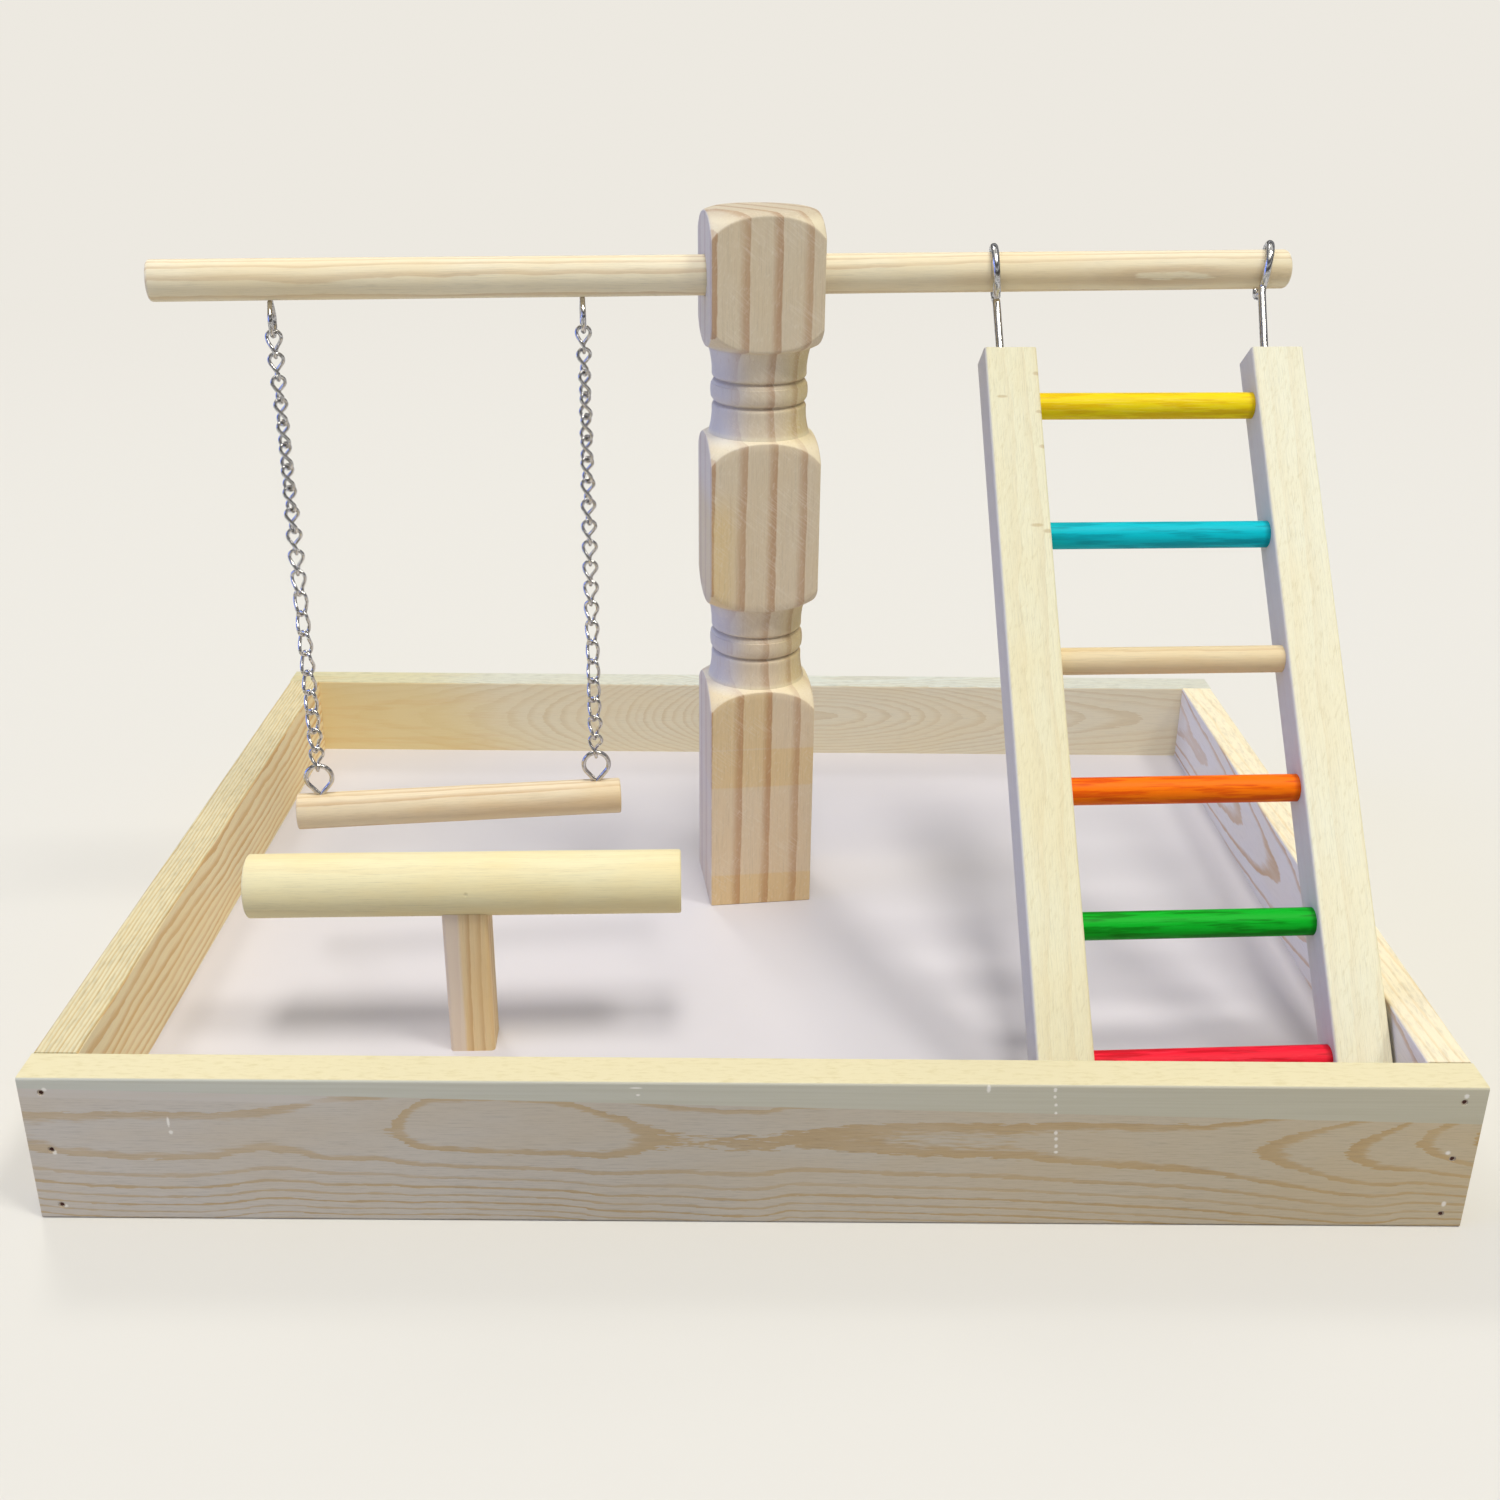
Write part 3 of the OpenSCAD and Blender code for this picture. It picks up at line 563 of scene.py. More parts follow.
LEFT_WOOD = wood(
    "left_board_pine", (-279, 0, 35), (0, 1, 0), (1, 0, 0), (1.0, 0.93, 0.75), (0.89, 0.71, 0.43), ring=1.9,
    pith=(62, 140), waver=2.2, rag=0.25, line=0.9, blotch=0.25, late=(0.4, 0.75, 0.96),
    extra=top_edge((0.85, 0.875, 0.89)), dents=[((-269.5, 128, 60), 2.2)])
# painted light: the pale tone is whitened and cooled for the window light on the inner face
RIGHT_WOOD = wood(
    "right_board_pine", (279, 0, 35), (0, 1, 0), (-1, 0, 0), (0.95, 0.935, 0.92), (0.83, 0.68, 0.50),
    ring=4.6, pith=(-14, 20), waver=3.0, rag=0.5, line=0.95, blotch=0.2, late=(0.7, 0.86, 0.97),
    extra=top_edge((0.99, 0.985, 0.95), (0.94, 0.885, 0.745)),
    arch=(SIDE_BOARD_LONG, 25, [(-215, 1.0), (-84, 0.72), (-20, 0.5), (56, 0.32), (127, 0.15), (215, 0.0)]))
POST_WOOD = wood(
    "post_pine", POST + UP * POST_MID_Z, UP, -ACROSS, (0.90, 0.83, 0.71), (0.76, 0.61, 0.475), ring=13.7,
    pith=(131, -91.2), lean=(0.0095, 0.0), waver=1.6, rag=0.5, line=1.15, blotch=0.2,
    late=(0.64, 0.84, 0.975), rough=0.6, extra=post_marks)
PERCH_WOOD = wood(
    "perch_birch", (0, 34, 352), ALONG, (0, -1, 0.3), (0.945, 0.90, 0.775), (0.80, 0.68, 0.52), ring=2.7,
    pith=(9, 16), lean=(0.004, 0.006), waver=1.8, line=0.75, fibre=0.6, rag=0.2, late=(0.5, 0.85, 0.97),
    blotch=0.35)
SWING_WOOD = wood(
    "swing_perch_wood", (-157, 12, 79), ALONG, (0, -1, 0.4), (0.905, 0.84, 0.71), (0.76, 0.61, 0.43),
    ring=3.0, pith=(7, 18), lean=(0.012, 0.01), waver=1.6, fibre=0.6, rag=0.25)
T_ROD_WOOD = wood(
    "t_rod_wood", (-130, -128, 105), (1, 0.04, 0), (0, -1, 0.4), (0.925, 0.885, 0.71), (0.85, 0.77, 0.57),
    ring=4.5, pith=(9, 60), waver=4.0, line=0.25, fibre=0.6, rag=0.4,
    dents=[((-160, -141, 111), 1.5), ((-95, -140.5, 112), 1.4), ((-128, -142, 107), 1.3)])
T_POST_WOOD = wood(
    "t_post_wood", (-129, -139, 60), UP, (0, -1, 0), (0.92, 0.825, 0.645), (0.76, 0.57, 0.37), ring=4.2,
    pith=(34, -30), lean=(0.02, 0), waver=1.6, rag=0.4, extra=t_post_marks)
RAIL_WOOD = wood(
    "rail_pine", RAIL_TOP, RAIL_WAY, RAIL_FACE, (0.925, 0.905, 0.77), (0.85, 0.77, 0.59), ring=4.2,
    pith=(26, 50), lean=(0.01, 0.01), line=0.3, fibre=0.7, blotch=0.3,
    extra=rail_marks([((11.5, -9.5, -14), 2.4, 1.4), ((11.5, -9.5, -34), 2.4, 1.2),
                      ((12, -9.5, -52), 2.6, 1.4), ((11, -9.5, -95), 3.0, 1.4),
                      ((6, -9.5, -92), 4.0, 1.2), ((-6, -9.5, -26), 3.4, 1.0)]))
RIGHT_RAIL_WOOD = wood(
    "right_rail_pine", on_ladder(Vector((131, 0, 40))), RAIL_WAY, RAIL_FACE, (0.945, 0.93, 0.815),
    (0.88, 0.81, 0.64), ring=4.8, pith=(-29, 44), lean=(0.012, 0.01), waver=3.0, line=0.35, fibre=0.7,
    blotch=0.25, extra=rail_marks())

ZINC = metal("bright_zinc", (0.86, 0.85, 0.83), 0.1, 0.6)
STEEL = metal("screw_steel", (0.72, 0.72, 0.73), 0.35, 0.6)

# Each rung's place as a share of the rail's length, and its stain's main, deep and worn tone
RUNGS = {
    "rung_yellow": (0.073, ((0.95, 0.84, 0.03), (0.90, 0.74, 0.0), (0.97, 0.90, 0.45))),
    "rung_teal": (0.257, ((0.0, 0.745, 0.79), (0.0, 0.63, 0.68), (0.0, 0.80, 0.83))),
    "rung_natural": (0.428, None),
    "rung_orange": (0.598, ((0.98, 0.46, 0.0), (0.88, 0.33, 0.0), (1.0, 0.57, 0.05))),
    "rung_green": (0.767, ((0.0, 0.68, 0.13), (0.0, 0.52, 0.06), (0.15, 0.75, 0.24))),
    "rung_red": (0.934, ((0.93, 0.11, 0.2), (0.80, 0.05, 0.13), (0.97, 0.33, 0.4))),
}


def rung_wood(node, share, paint):
    """Clear wood on the natural rung, and pine under a stain on the others."""
    at = on_ladder(Vector((RUNG_MID, 0, -share * RAIL_LONG)))
    if paint is None:
        return wood("rung_natural_wood", at, RUNG_WAY, (0, -1, 0.4), (0.91, 0.83, 0.66), (0.78, 0.63, 0.44),
                    ring=2.5, pith=(2, 18), waver=2.5, line=0.5)
    return wood(node + "_stain", at, RUNG_WAY, (0, -1, 0.5), (0.93, 0.87, 0.72), (0.80, 0.62, 0.40),
                ring=2.6, pith=(2, 18), waver=2.5, paint=paint, rough=0.5)


def dress(node, material):
    """Gives a CAD node its finish."""
    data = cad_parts[node].data
    data.materials.clear()
    data.materials.append(material)
    for polygon in data.polygons:
        polygon.material_index = 0


dress("front_board", FRONT_WOOD)
dress("back_board", BACK_WOOD)
dress("left_board", LEFT_WOOD)
dress("right_board", RIGHT_WOOD)
dress("floor_panel", floor_facing())
dress("frame_brads", brad_heads())
dress("post_screws", STEEL)
dress("t_post_screw", STEEL)
dress("t_pin", T_ROD_WOOD)
dress("t_post", T_POST_WOOD)
dress("ladder_rail_left", RAIL_WOOD)
dress("ladder_rail_right", RIGHT_RAIL_WOOD)
for node, (share, paint) in RUNGS.items():
    dress(node, rung_wood(node, share, paint))


# Shapes, in millimetres

def new_piece(name, mesh, body, material, nodes):
    data = bpy.data.meshes.new(name)
    bmesh.ops.recalc_face_normals(mesh, faces=mesh.faces)
    for f in mesh.faces:
        f.smooth = True
    mesh.to_mesh(data)
    mesh.free()
    data.transform(Matrix.Scale(MM, 4))
    piece = bpy.data.objects.new(name, data)
    bpy.context.scene.collection.objects.link(piece)
    data.materials.append(material)
    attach(piece, body)
    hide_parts(*nodes)
    return piece


def drawn_out(mesh, edges):
    """Extrudes a ring of edges in place, and gives the new ring's edges and vertices."""
    made = bmesh.ops.extrude_edge_only(mesh, edges=edges)["geom"]
    return ([g for g in made if isinstance(g, bmesh.types.BMEdge)],
            [g for g in made if isinstance(g, bmesh.types.BMVert)])


def ring_place(middle, way, out, radius):
    """The matrix that carries a unit circle to a ring round `way`; `out` is where its first point lies."""
    axes = Matrix((-radius * way.cross(out), radius * out, way)).transposed().to_4x4()
    return Matrix.Translation(middle) @ axes


def tube(mesh, places, sides, closed=False):
    """A round tube drawn out from one circle through a list of places, which ring_place gives."""
    circle = bmesh.ops.create_circle(mesh, cap_ends=not closed, segments=sides, radius=1, matrix=places[0])
    mesh.edges.index_update()
    start = {edge for vert in circle["verts"] for edge in vert.link_edges}
    start = sorted(start, key=lambda edge: edge.index)
    edges = start
    for before, after in zip(places, places[1:]):
        edges, verts = drawn_out(mesh, edges)
        bmesh.ops.transform(mesh, matrix=after @ before.inverted(), verts=verts)
    if closed:
        bmesh.ops.bridge_loops(mesh, edges=start + edges)
    else:
        bmesh.ops.edgeloop_fill(mesh, edges=edges)


def wire(mesh, path, radius, sides, closed=False):
    """A round wire along a path of points; the ends of an open one are slightly rounded."""
    last = len(path) - 1
    ways = []
    for i, point in enumerate(path):
        before = path[i - 1] if closed or i > 0 else point
        after = path[(i + 1) % len(path)] if closed or i < last else point
        ways.append((after - before).normalized())
    outs = []
    out = ways[0].orthogonal().normalized()
    for way in ways:
        out = (out - way * out.dot(way)).normalized()
        outs.append(out)
    if closed:
        # what the rings have turned by at the join is shared out along the wire
        end = (out - ways[0] * out.dot(ways[0])).normalized()
        turn = math.atan2(end.cross(outs[0]).dot(ways[0]), end.dot(outs[0]))
        shares = [turn * i / len(path) for i in range(len(path))]
        outs = [Matrix.Rotation(share, 3, way) @ out for share, way, out in zip(shares, ways, outs)]
    places = [ring_place(*ring, radius) for ring in zip(path, ways, outs)]
    if not closed:
        ease = 0.22 * radius
        places[0] = ring_place(path[0] + ways[0] * ease, ways[0], outs[0], radius)
        places[-1] = ring_place(path[-1] - ways[-1] * ease, ways[-1], outs[-1], radius)
        places.insert(0, ring_place(path[0], ways[0], outs[0], radius - ease))
        places.append(ring_place(path[-1], ways[-1], outs[-1], radius - ease))
    tube(mesh, places, sides, closed)


def round_bar(name, node, start, end, radius, body, material, ease):
    """A dowel from start to end with rounded ends and a slightly uneven surface."""
    way = (end - start).normalized()
    long = (end - start).length
    side = way.cross(UP).normalized()
    up = side.cross(way)
    rounding = [(0, radius - ease), (ease * 0.12, radius - ease * 0.6), (ease * 0.45, radius - ease * 0.2)]
    count = round(long / 6)
    stations = rounding + [(ease + (long - 2 * ease) * i / count, radius) for i in range(count + 1)]
    stations += [(long - d, r) for d, r in reversed(rounding)]
    mesh = bmesh.new()
    tube(mesh, [ring_place(start + way * d, way, side, r) for d, r in stations], sides=72)
    for vert in mesh.verts:
        d = (vert.co - start).dot(way)
        out = (vert.co - start - way * d).normalized()
        angle = math.atan2(out.dot(up), out.dot(side))
        vert.co -= out * BAR_UNEVEN * (1 + math.sin(3 * angle + d * 0.043) * math.sin(d * 0.021 + 2 * angle))
    bar = new_piece(name, mesh, body, material, [node])
    bar.data.set_sharp_from_angle(angle=math.radians(40))


# Centre post

def arch_height(inner, outer):
    """Height of an arch on the post, given the distance from the axis; it is level beyond its two ends."""
    chord = inner - outer
    away = Vector((chord.y, -chord.x)).normalized() * math.sqrt(ARCH_R ** 2 - (chord.length / 2) ** 2)
    middle = (inner + outer) / 2 - away

    def height(r):
        r = min(max(r, inner.x), outer.x)
        return middle.y + math.sqrt(ARCH_R ** 2 - (r - middle.x) ** 2)

    return height


shoulder = arch_height(SHOULDER_IN, SHOULDER_OUT)
crown = arch_height(CROWN_IN, CROWN_OUT)


def square_reach(angle):
    """Distance from the post's axis to its square outline with eased corners, in one direction."""
    c, s = abs(math.cos(angle)), abs(math.sin(angle))
    half = POST_W / 2
    flat = half / max(c, s)
    inner = half - CORNER_EASE
    if min(c, s) * flat <= inner:
        return flat
    b = inner * (c + s)
    return b + math.sqrt(max(0.0, b * b - 2 * inner ** 2 + CORNER_EASE ** 2))


def post_angles():
    """Directions to the outline's points: 31 along each face, evenly spaced, and five round each corner."""
    inner = POST_W / 2 - CORNER_EASE
    corner = math.atan2(inner, POST_W / 2)
    one_side = [math.atan((-1 + i / 15) * math.tan(corner)) for i in range(31)]
    one_side += [corner + (math.pi / 2 - 2 * corner) * i / 6 for i in range(1, 6)]
    return [quarter * math.pi / 2 + angle for quarter in range(4) for angle in one_side]


def block_edge(arch, z=0, way=1):
    """Height of a block's edge under an arch, short of the worn rim; way is -1 at the block's lower end."""
    return lambda angle: z + way * (arch(square_reach(angle)) - EDGE_RIM)


def flat_rings(bottom, top, count):
    """Rings up the square faces between two edges, which are functions of the angle."""
    def ring(t):
        return lambda angle: (square_reach(angle), bottom(angle) * (1 - t) + top(angle) * t)
    return [ring(i / count) for i in range(count + 1)]


def arched_rings(arch, inner, z=0, way=1):
    """Rings in along an arch, from the square faces to an inner radius; the first one is slightly worn."""
    def ring(t, worn):
        def reach_and_height(angle):
            r = square_reach(angle) + (inner - square_reach(angle)) * t
            return r - worn * 0.6, z + way * (arch(r) - worn)
        return reach_and_height
    return [ring(i / 9, 0 if i else EDGE_WORN) for i in range(10)]


def round_ring(r, z):
    return lambda angle: (r, z)


def shoulder_rings(z, way):
    """A shoulder and the neck's flare beside it; way is 1 above a block and -1 below."""
    inner, start = SHOULDER_IN
    shares = [i / 9 for i in range(1, 10)]
    return (arched_rings(shoulder, inner, z, way) +
            [round_ring(FLARE_R + (inner - FLARE_R) * (1 - t) ** 2, z + way * (start + FLARE_LONG * t))
             for t in shares])


def neck_rings(z):
    """A neck above a block's top at z: two shoulders, and two scored grooves with a swell between them."""
    rings = shoulder_rings(z, 1)
    apart = GROOVES[1] - GROOVES[0]
    for groove in GROOVES:
        rings.append(round_ring(NECK_R + GROOVE_RIM, z + groove - GROOVE_SIDE))
        rings += [round_ring(NECK_R - deep, z + groove + up) for up, deep in GROOVE_PROFILE]
        if groove == GROOVES[0]:
            rings += [round_ring(NECK_R + NECK_SWELL * math.sin(math.pi * t), z + groove + apart * t)
                      for t in (0.22, 0.38, 0.5, 0.62, 0.78)]
    rings.append(round_ring(NECK_R + GROOVE_RIM, z + GROOVES[1] + GROOVE_SIDE))
    return rings + shoulder_rings(z + NECK_LONG, -1)[::-1]


def post_rings():
    """The post's rings from its foot to its top, each a function from an angle to a reach and a height."""
    lowest, middle, highest = BLOCKS
    rings = [lambda angle: (square_reach(angle) - 0.4, 0), lambda angle: (square_reach(angle), 0.4)]
    rings += flat_rings(lambda angle: 1.0, block_edge(shoulder, lowest[1]), 31)
    rings += neck_rings(lowest[1])
    rings += flat_rings(block_edge(shoulder, middle[0], -1), block_edge(shoulder, middle[1]), 21)
    rings += neck_rings(middle[1])
    rings += flat_rings(block_edge(shoulder, highest[0], -1), block_edge(crown), 62)
    rings += arched_rings(crown, CROWN_IN.x)
    return rings + [round_ring(r, CROWN_IN.y) for r in (16, 8)]


def bore_for_perch(mesh):
    """The hole for the top perch, in the two faces that it passes through, with a wall that goes inwards."""
    bore = PERCH_R + BORE_PLAY
    z = PERCH_Z - FLOOR_TOP

    def on_face(vert):
        return abs(abs(vert.co.x) - POST_W / 2) < 0.02

    # points well inside the bore go, and those near its edge move onto it
    inside = set()
    for vert in filter(on_face, mesh.verts):
        away = Vector((vert.co.y, vert.co.z - z))
        if away.length < bore - 0.55:
            inside.add(vert)
        elif away.length < bore + 0.75:
            away *= bore / away.length
            vert.co.y, vert.co.z = away.x, z + away.y

    def in_bore(face):
        middle = face.calc_center_median()
        return (any(v in inside for v in face.verts) or
                all(on_face(v) for v in face.verts) and Vector((middle.y, middle.z - z)).length < bore - 0.1)

    bmesh.ops.delete(mesh, geom=[f for f in mesh.faces if in_bore(f)], context="FACES")
    _, wall = drawn_out(mesh, [e for e in mesh.edges if len(e.link_faces) == 1])
    for vert in wall:
        vert.co.x *= 0.6


def centre_post():
    """Square blocks and turned necks, drawn out ring by ring from the foot, with a bore for the perch."""
    mesh = bmesh.new()

    def point(ring, angle):
        reach, height = ring(angle)
        return Vector((reach * math.cos(angle), reach * math.sin(angle), height))

    foot, *rings = post_rings()
    edges = mesh.faces.new([mesh.verts.new(point(foot, angle)) for angle in post_angles()]).edges[:]
    for ring in rings:
        edges, verts = drawn_out(mesh, edges)
        for vert in verts:
            vert.co = point(ring, math.atan2(vert.co.y, vert.co.x))
    bmesh.ops.edgeloop_fill(mesh, edges=edges)
    bore_for_perch(mesh)
    bmesh.ops.rotate(mesh, verts=mesh.verts, matrix=Matrix.Rotation(POST_TURN, 3, "Z"))
    bmesh.ops.translate(mesh, verts=mesh.verts, vec=POST + UP * FLOOR_TOP)
    post = new_piece("centre_post_wood", mesh, "stand", POST_WOOD, ["centre_post"])
    post.data.set_sharp_from_angle(angle=math.radians(32))


# Chains, eyes and hooks

def half_turn(steps):
    return [math.pi * i / steps for i in range(steps + 1)]


def link_path():
    """Centre line of one twisted link: its upper bow along x, its lower bow along y."""
    upper = [Vector((LINK_R * math.cos(a), 0, LINK_LEG + LINK_R * math.sin(a))) for a in half_turn(14)]
    lower = [Vector((0, -LINK_R * math.cos(a), -LINK_LEG - LINK_R * math.sin(a))) for a in half_turn(14)]

    def leg(side):
        """The points between the bows on one side, from above, swelling out in the middle."""
        top, foot = Vector((side * LINK_R, 0, LINK_LEG)), Vector((0, side * LINK_R, -LINK_LEG))
        swell = [1 + 0.16 * math.sin(math.pi * i / 6) for i in range(1, 6)]
        return [Vector((k, k, 1)) * top.lerp(foot, i / 6) for i, k in enumerate(swell, 1)]

    path = upper + leg(-1) + lower + leg(1)[::-1]
    for _ in range(2):
        path = [(path[i - 1] + 2 * p + path[(i + 1) % len(path)]) / 4 for i, p in enumerate(path)]
    return path


def chain(side, node):
    """The links hang with a slow twist along the chain; both ends stay as the eyes hold them."""
    mesh = bmesh.new()
    top = SWING_MID + ALONG * side * CHAIN_APART + UP * (CHAIN_TOP - LINK_R - LINK_LEG)
    wave, ripple = CHAIN_TWIST[side]
    path = link_path()
    for i in range(LINKS):
        phase = 2 * math.pi * i / (LINKS - 1)
        twist = math.radians(wave * math.sin(phase) + ripple * math.sin(2 * phase))
        turn = Matrix.Rotation(POST_TURN + twist, 3, "Z")
        wire(mesh, [top - UP * LINK_STEP * i + turn @ p for p in path], LINK_WIRE, sides=14, closed=True)
    new_piece(node + "_links", mesh, "chains", ZINC, [node])


def screw_eye(node, body, base, ring_way, out):
    """A screw eye on the wood at `base`; its ring spreads along ring_way, and `out` points off the wood."""
    r, high, throat = 6.65, 9.5, 0.7
    slope = math.asin(r / (high + throat))
    side = r * math.cos(slope)
    rise = high - r * math.sin(slope) + throat
    # up the slope from the shank, round the ring, and back until just short of the shank
    path = [(side * i / 6, rise * i / 6 - throat) for i in range(1, 7)]
    for i in range(1, 33):
        a = -slope + (math.pi + 2 * slope) * i / 33
        path.append((r * math.cos(a), high + r * math.sin(a)))
    path += [(-side * (1 - i / 6), rise * (1 - i / 6) - throat) for i in range(1, 6)]
    shank = [base - out * d for d in (9.0, 4.0, 1.6)]
    mesh = bmesh.new()
    wire(mesh, shank + [base + ring_way * x + out * y for x, y in path], 1.25, sides=18)
    new_piece(node + "_wire", mesh, body, ZINC, [node])


def hook(node, lean, tip, rise, back, step, turn_in):
    """One ladder hook: its shank leans from the rail's top, and its neck and loop lean by `tip`.

    `rise` is the loop's height above the rail, `back` and `step` are its places across the rail and to the
    right, and `turn_in` turns it about the neck."""
    r, bend = 12.85, 3.0
    neck = r + bend
    side = 1 if back > 0 else -1
    by = side * (abs(back) + bend)
    bz = -math.sqrt(neck ** 2 - by ** 2)
    start = math.atan2(bz, by)
    shank = (rise - neck * math.cos(tip)) / math.cos(lean)

    def shank_at(z):
        return Matrix.Rotation(lean, 3, "Y") @ Vector((0, 0, z))

    def loop_at(y, z):
        turned = Matrix.Rotation(turn_in, 3, "Z") @ Vector((0, y - back, z + neck))
        return shank_at(shank) + Matrix.Rotation(tip, 3, "Y") @ turned

    path = [shank_at(z) for z in (-12, -4, -1, 3, shank * 0.5, shank - 1.5)]
    path.append((shank_at(shank) * 2 + shank_at(shank - 1) + loop_at(back, 1 - neck)) / 4)
    turn = -start if side > 0 else math.pi + start
    for i in range(9):
        t = turn * i / 8
        path.append(loop_at(by - side * bend * math.cos(t), bz + bend * math.sin(t)))
    for i in range(1, 71):
        a = start + side * math.radians(331) * i / 70
        path.append(loop_at(r * math.cos(a), r * math.sin(a)))
    mesh = bmesh.new()
    wire(mesh, [on_ladder(p + Vector((step - LADDER_HANG.x, 0, 0))) for p in path], 1.95, sides=22)
    new_piece(node + "_wire", mesh, "ladder", ZINC, [node])


centre_post()
chain(-1, "chain_left")
chain(1, "chain_right")
round_bar("main_perch_dowel", "main_perch", POST - ALONG * PERCH_LEFT + UP * PERCH_Z,
          POST + ALONG * PERCH_RIGHT + UP * PERCH_Z, PERCH_R, "stand", PERCH_WOOD, ease=1.6)
round_bar("swing_perch_dowel", "swing_perch", SWING_MID - ALONG * SWING_HALF + UP * SWING_Z,
          SWING_MID + ALONG * SWING_HALF + UP * SWING_Z, PERCH_R, "perch", SWING_WOOD, ease=0.9)
round_bar("t_rod_dowel", "t_rod", T_ROD_MID - T_ROD_WAY * T_ROD_LEFT, T_ROD_MID + T_ROD_WAY * T_ROD_RIGHT,
          T_ROD_R, "stand", T_ROD_WOOD, ease=1.0)
for side, tail in ((-1, "left"), (1, "right")):
    place = SWING_MID + ALONG * (side * CHAIN_APART)
    screw_eye("upper_eye_" + tail, "stand", place + UP * (PERCH_Z - PERCH_R), ACROSS, -UP)
    screw_eye("lower_eye_" + tail, "perch", place + UP * (SWING_Z + PERCH_R), ALONG, UP)
hook("ladder_hook_left", 0, 0, 42.8, 3.4, 0, math.radians(-9))
hook("ladder_hook_right", math.radians(4), math.radians(14), 50.108, -4.9214, 131.2, math.radians(-6))


# Floor, light and camera

BACKDROP = (0.929, 0.914, 0.882)
GROUND_PALE = (0.837, 0.827, 0.794)
GROUND_DARK = 0.72
SKY = 0.47


def plain_floor():
    """Pale to the camera and in the metal, with the object's shadow; darker as light from below."""
    mesh = bmesh.new()
    bmesh.ops.create_grid(mesh, x_segments=1, y_segments=1, size=60)
    data = bpy.data.meshes.new("ground")
    mesh.to_mesh(data)
    mesh.free()
    ground = bpy.data.objects.new("ground", data)
    bpy.context.scene.collection.objects.link(ground)
    s = Shader("ground_paint")
    path = s.add("LightPath")
    seen, mirrored = path.outputs["Is Camera Ray"], path.outputs["Is Glossy Ray"]
    patches = s.ramp(s.cloud(260), [(0.46, 0.16), (0.5, 0.9)])
    pale = s.mix(mirrored, GROUND_PALE, patches)
    tone = s.mix(s.math("MAXIMUM", seen, mirrored), GROUND_DARK, pale)
    s.finish(tone, Roughness=1.0, Specular_IOR_Level=0.0)
    # to the camera it fades into the backdrop from 600 to 2600 mm away
    glow = s.add("Emission")
    glow.inputs["Color"].default_value = colour(BACKDROP)
    far = s.bands(s.vector("LENGTH", s.place), [(600, 0), (2600, 1)], True)
    fade = s.add("MixShader")
    s.put(fade.inputs[0], s.times(far, seen))
    s.put(fade.inputs[1], s.surface.outputs[0])
    s.put(fade.inputs[2], glow.outputs[0])
    s.put(s.out.inputs["Surface"], fade.outputs[0])
    data.materials.append(s.material)


def lamp(name, way, strength, tint, spread):
    """A soft, distant lamp that shines along `way`."""
    data = bpy.data.lights.new(name, "SUN")
    data.energy = strength
    data.color = tint
    data.angle = math.radians(spread)
    one = bpy.data.objects.new(name, data)
    bpy.context.scene.collection.objects.link(one)
    one.rotation_euler = Vector(way).to_track_quat("-Z", "Y").to_euler()


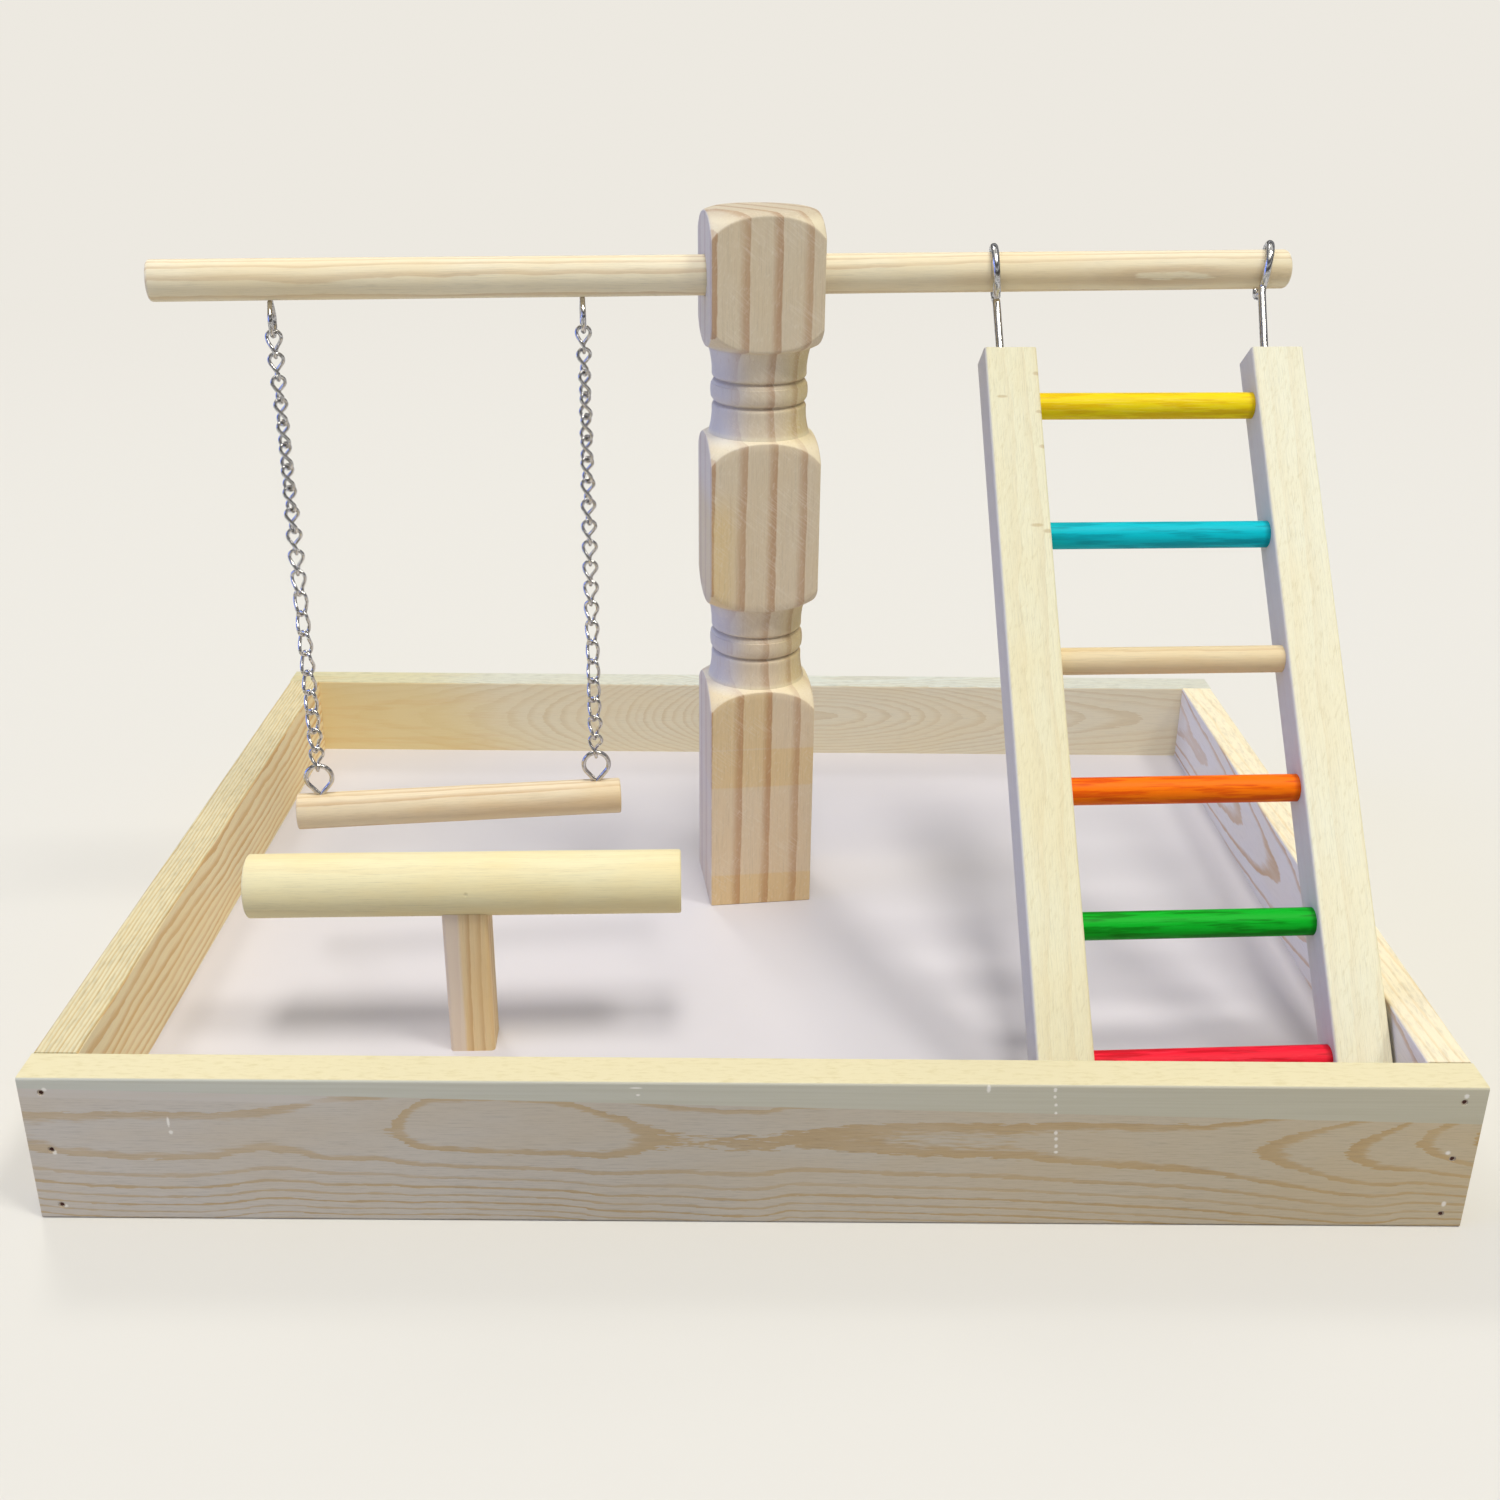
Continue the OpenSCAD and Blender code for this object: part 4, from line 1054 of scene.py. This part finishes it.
def room():
    """Pale to the camera; brighter overhead for the wood; light and dark zones for the metal."""
    world = bpy.data.worlds.new("room")
    bpy.context.scene.world = world
    world.use_nodes = True
    t = world.node_tree
    t.nodes.clear()
    where = t.nodes.new("ShaderNodeTexCoord")
    split = t.nodes.new("ShaderNodeSeparateXYZ")
    t.links.new(where.outputs["Generated"], split.inputs[0])
    rise = t.nodes.new("ShaderNodeMath")
    rise.operation = "MULTIPLY_ADD"
    rise.inputs[1].default_value = 0.5
    rise.inputs[2].default_value = 0.5
    t.links.new(split.outputs["Z"], rise.inputs[0])

    def background(strength):
        shade = t.nodes.new("ShaderNodeBackground")
        shade.inputs["Strength"].default_value = strength
        return shade

    def zones(stops, strength):
        """Linear colours from straight down, at 0, to straight up, at 1."""
        ramp = t.nodes.new("ShaderNodeValToRGB")
        points = ramp.color_ramp.elements
        points[0].position, points[1].position = stops[0][0], stops[1][0]
        for at, _ in stops[2:]:
            points.new(at)
        for point, (_, c) in zip(points, stops):
            point.color = (*c, 1)
        t.links.new(rise.outputs[0], ramp.inputs[0])
        shade = background(strength)
        t.links.new(ramp.outputs[0], shade.inputs["Color"])
        return shade

    soft = zones([(0.48, (0.5, 0.5, 0.52)), (0.62, (0.72, 0.76, 0.84)), (0.9, (1.0, 1.0, 1.0))], SKY)
    crisp = zones([(0.5, (0.75, 0.74, 0.72)), (0.55, (0.06, 0.055, 0.05)), (0.68, (0.1, 0.1, 0.1)),
                   (0.71, (0.9, 0.92, 1.0)), (0.76, (0.12, 0.12, 0.13)), (0.88, (0.1, 0.1, 0.1)),
                   (0.91, (1.2, 1.2, 1.2)), (1.0, (0.4, 0.4, 0.4))], 1.0)
    seen = background(1.0)
    seen.inputs["Color"].default_value = colour(BACKDROP)
    path = t.nodes.new("ShaderNodeLightPath")
    last = soft
    for kind, shade in (("Is Glossy Ray", crisp), ("Is Camera Ray", seen)):
        mix = t.nodes.new("ShaderNodeMixShader")
        t.links.new(path.outputs[kind], mix.inputs[0])
        t.links.new(last.outputs[0], mix.inputs[1])
        t.links.new(shade.outputs[0], mix.inputs[2])
        last = mix
    t.links.new(last.outputs[0], t.nodes.new("ShaderNodeOutputWorld").inputs[0])


# The photo's camera: its side, focal length and centre in pixels, its angles, and its place in millimetres
PHOTO_SIDE = 1500
FOCAL = 1671.55
CENTRE_X, CENTRE_Y = 747.91, 750.49
YAW, PITCH, ROLL = 0.005, 0.41, -0.0098
CAMERA_AT = Vector((-6.6624, -796.5342, 462.24))


def camera():
    right = Vector((math.cos(YAW), -math.sin(YAW), 0))
    ahead = Vector((math.sin(YAW) * math.cos(PITCH), math.cos(YAW) * math.cos(PITCH), -math.sin(PITCH)))
    down = ahead.cross(right)
    rolled_right = math.cos(ROLL) * right + math.sin(ROLL) * down
    rolled_down = -math.sin(ROLL) * right + math.cos(ROLL) * down
    data = bpy.data.cameras.new("photo_camera")
    data.sensor_width = 36
    data.lens = data.sensor_width * FOCAL / PHOTO_SIDE
    data.shift_x = (PHOTO_SIDE / 2 - CENTRE_X) / PHOTO_SIDE
    data.shift_y = (CENTRE_Y - PHOTO_SIDE / 2) / PHOTO_SIDE
    data.clip_end = 100
    cam = bpy.data.objects.new("photo_camera", data)
    bpy.context.scene.collection.objects.link(cam)
    axes = Matrix((rolled_right, -rolled_down, -ahead)).transposed().to_4x4()
    cam.matrix_world = Matrix.Translation(CAMERA_AT * MM) @ axes
    bpy.context.scene.camera = cam


CEILING = (1.0, 0.975, 0.92)

plain_floor()
room()
lamp("front ceiling", (-0.036, 0.38, -1), 0.8, CEILING, 12)
lamp("middle ceiling", (-0.036, 0.17, -1), 0.8, CEILING, 12)
lamp("right ceiling", (-0.48, 0.25, -1), 0.9, CEILING, 12)
lamp("far ceiling", (70, -150, -190), 0.5, (1.0, 0.98, 0.95), 12)
lamp("window", (0.97, 0.14, -0.16), 1.1, (0.13, 0.26, 1.0), 50)
camera()
bpy.context.scene.view_settings.view_transform = "Standard"
write_size()
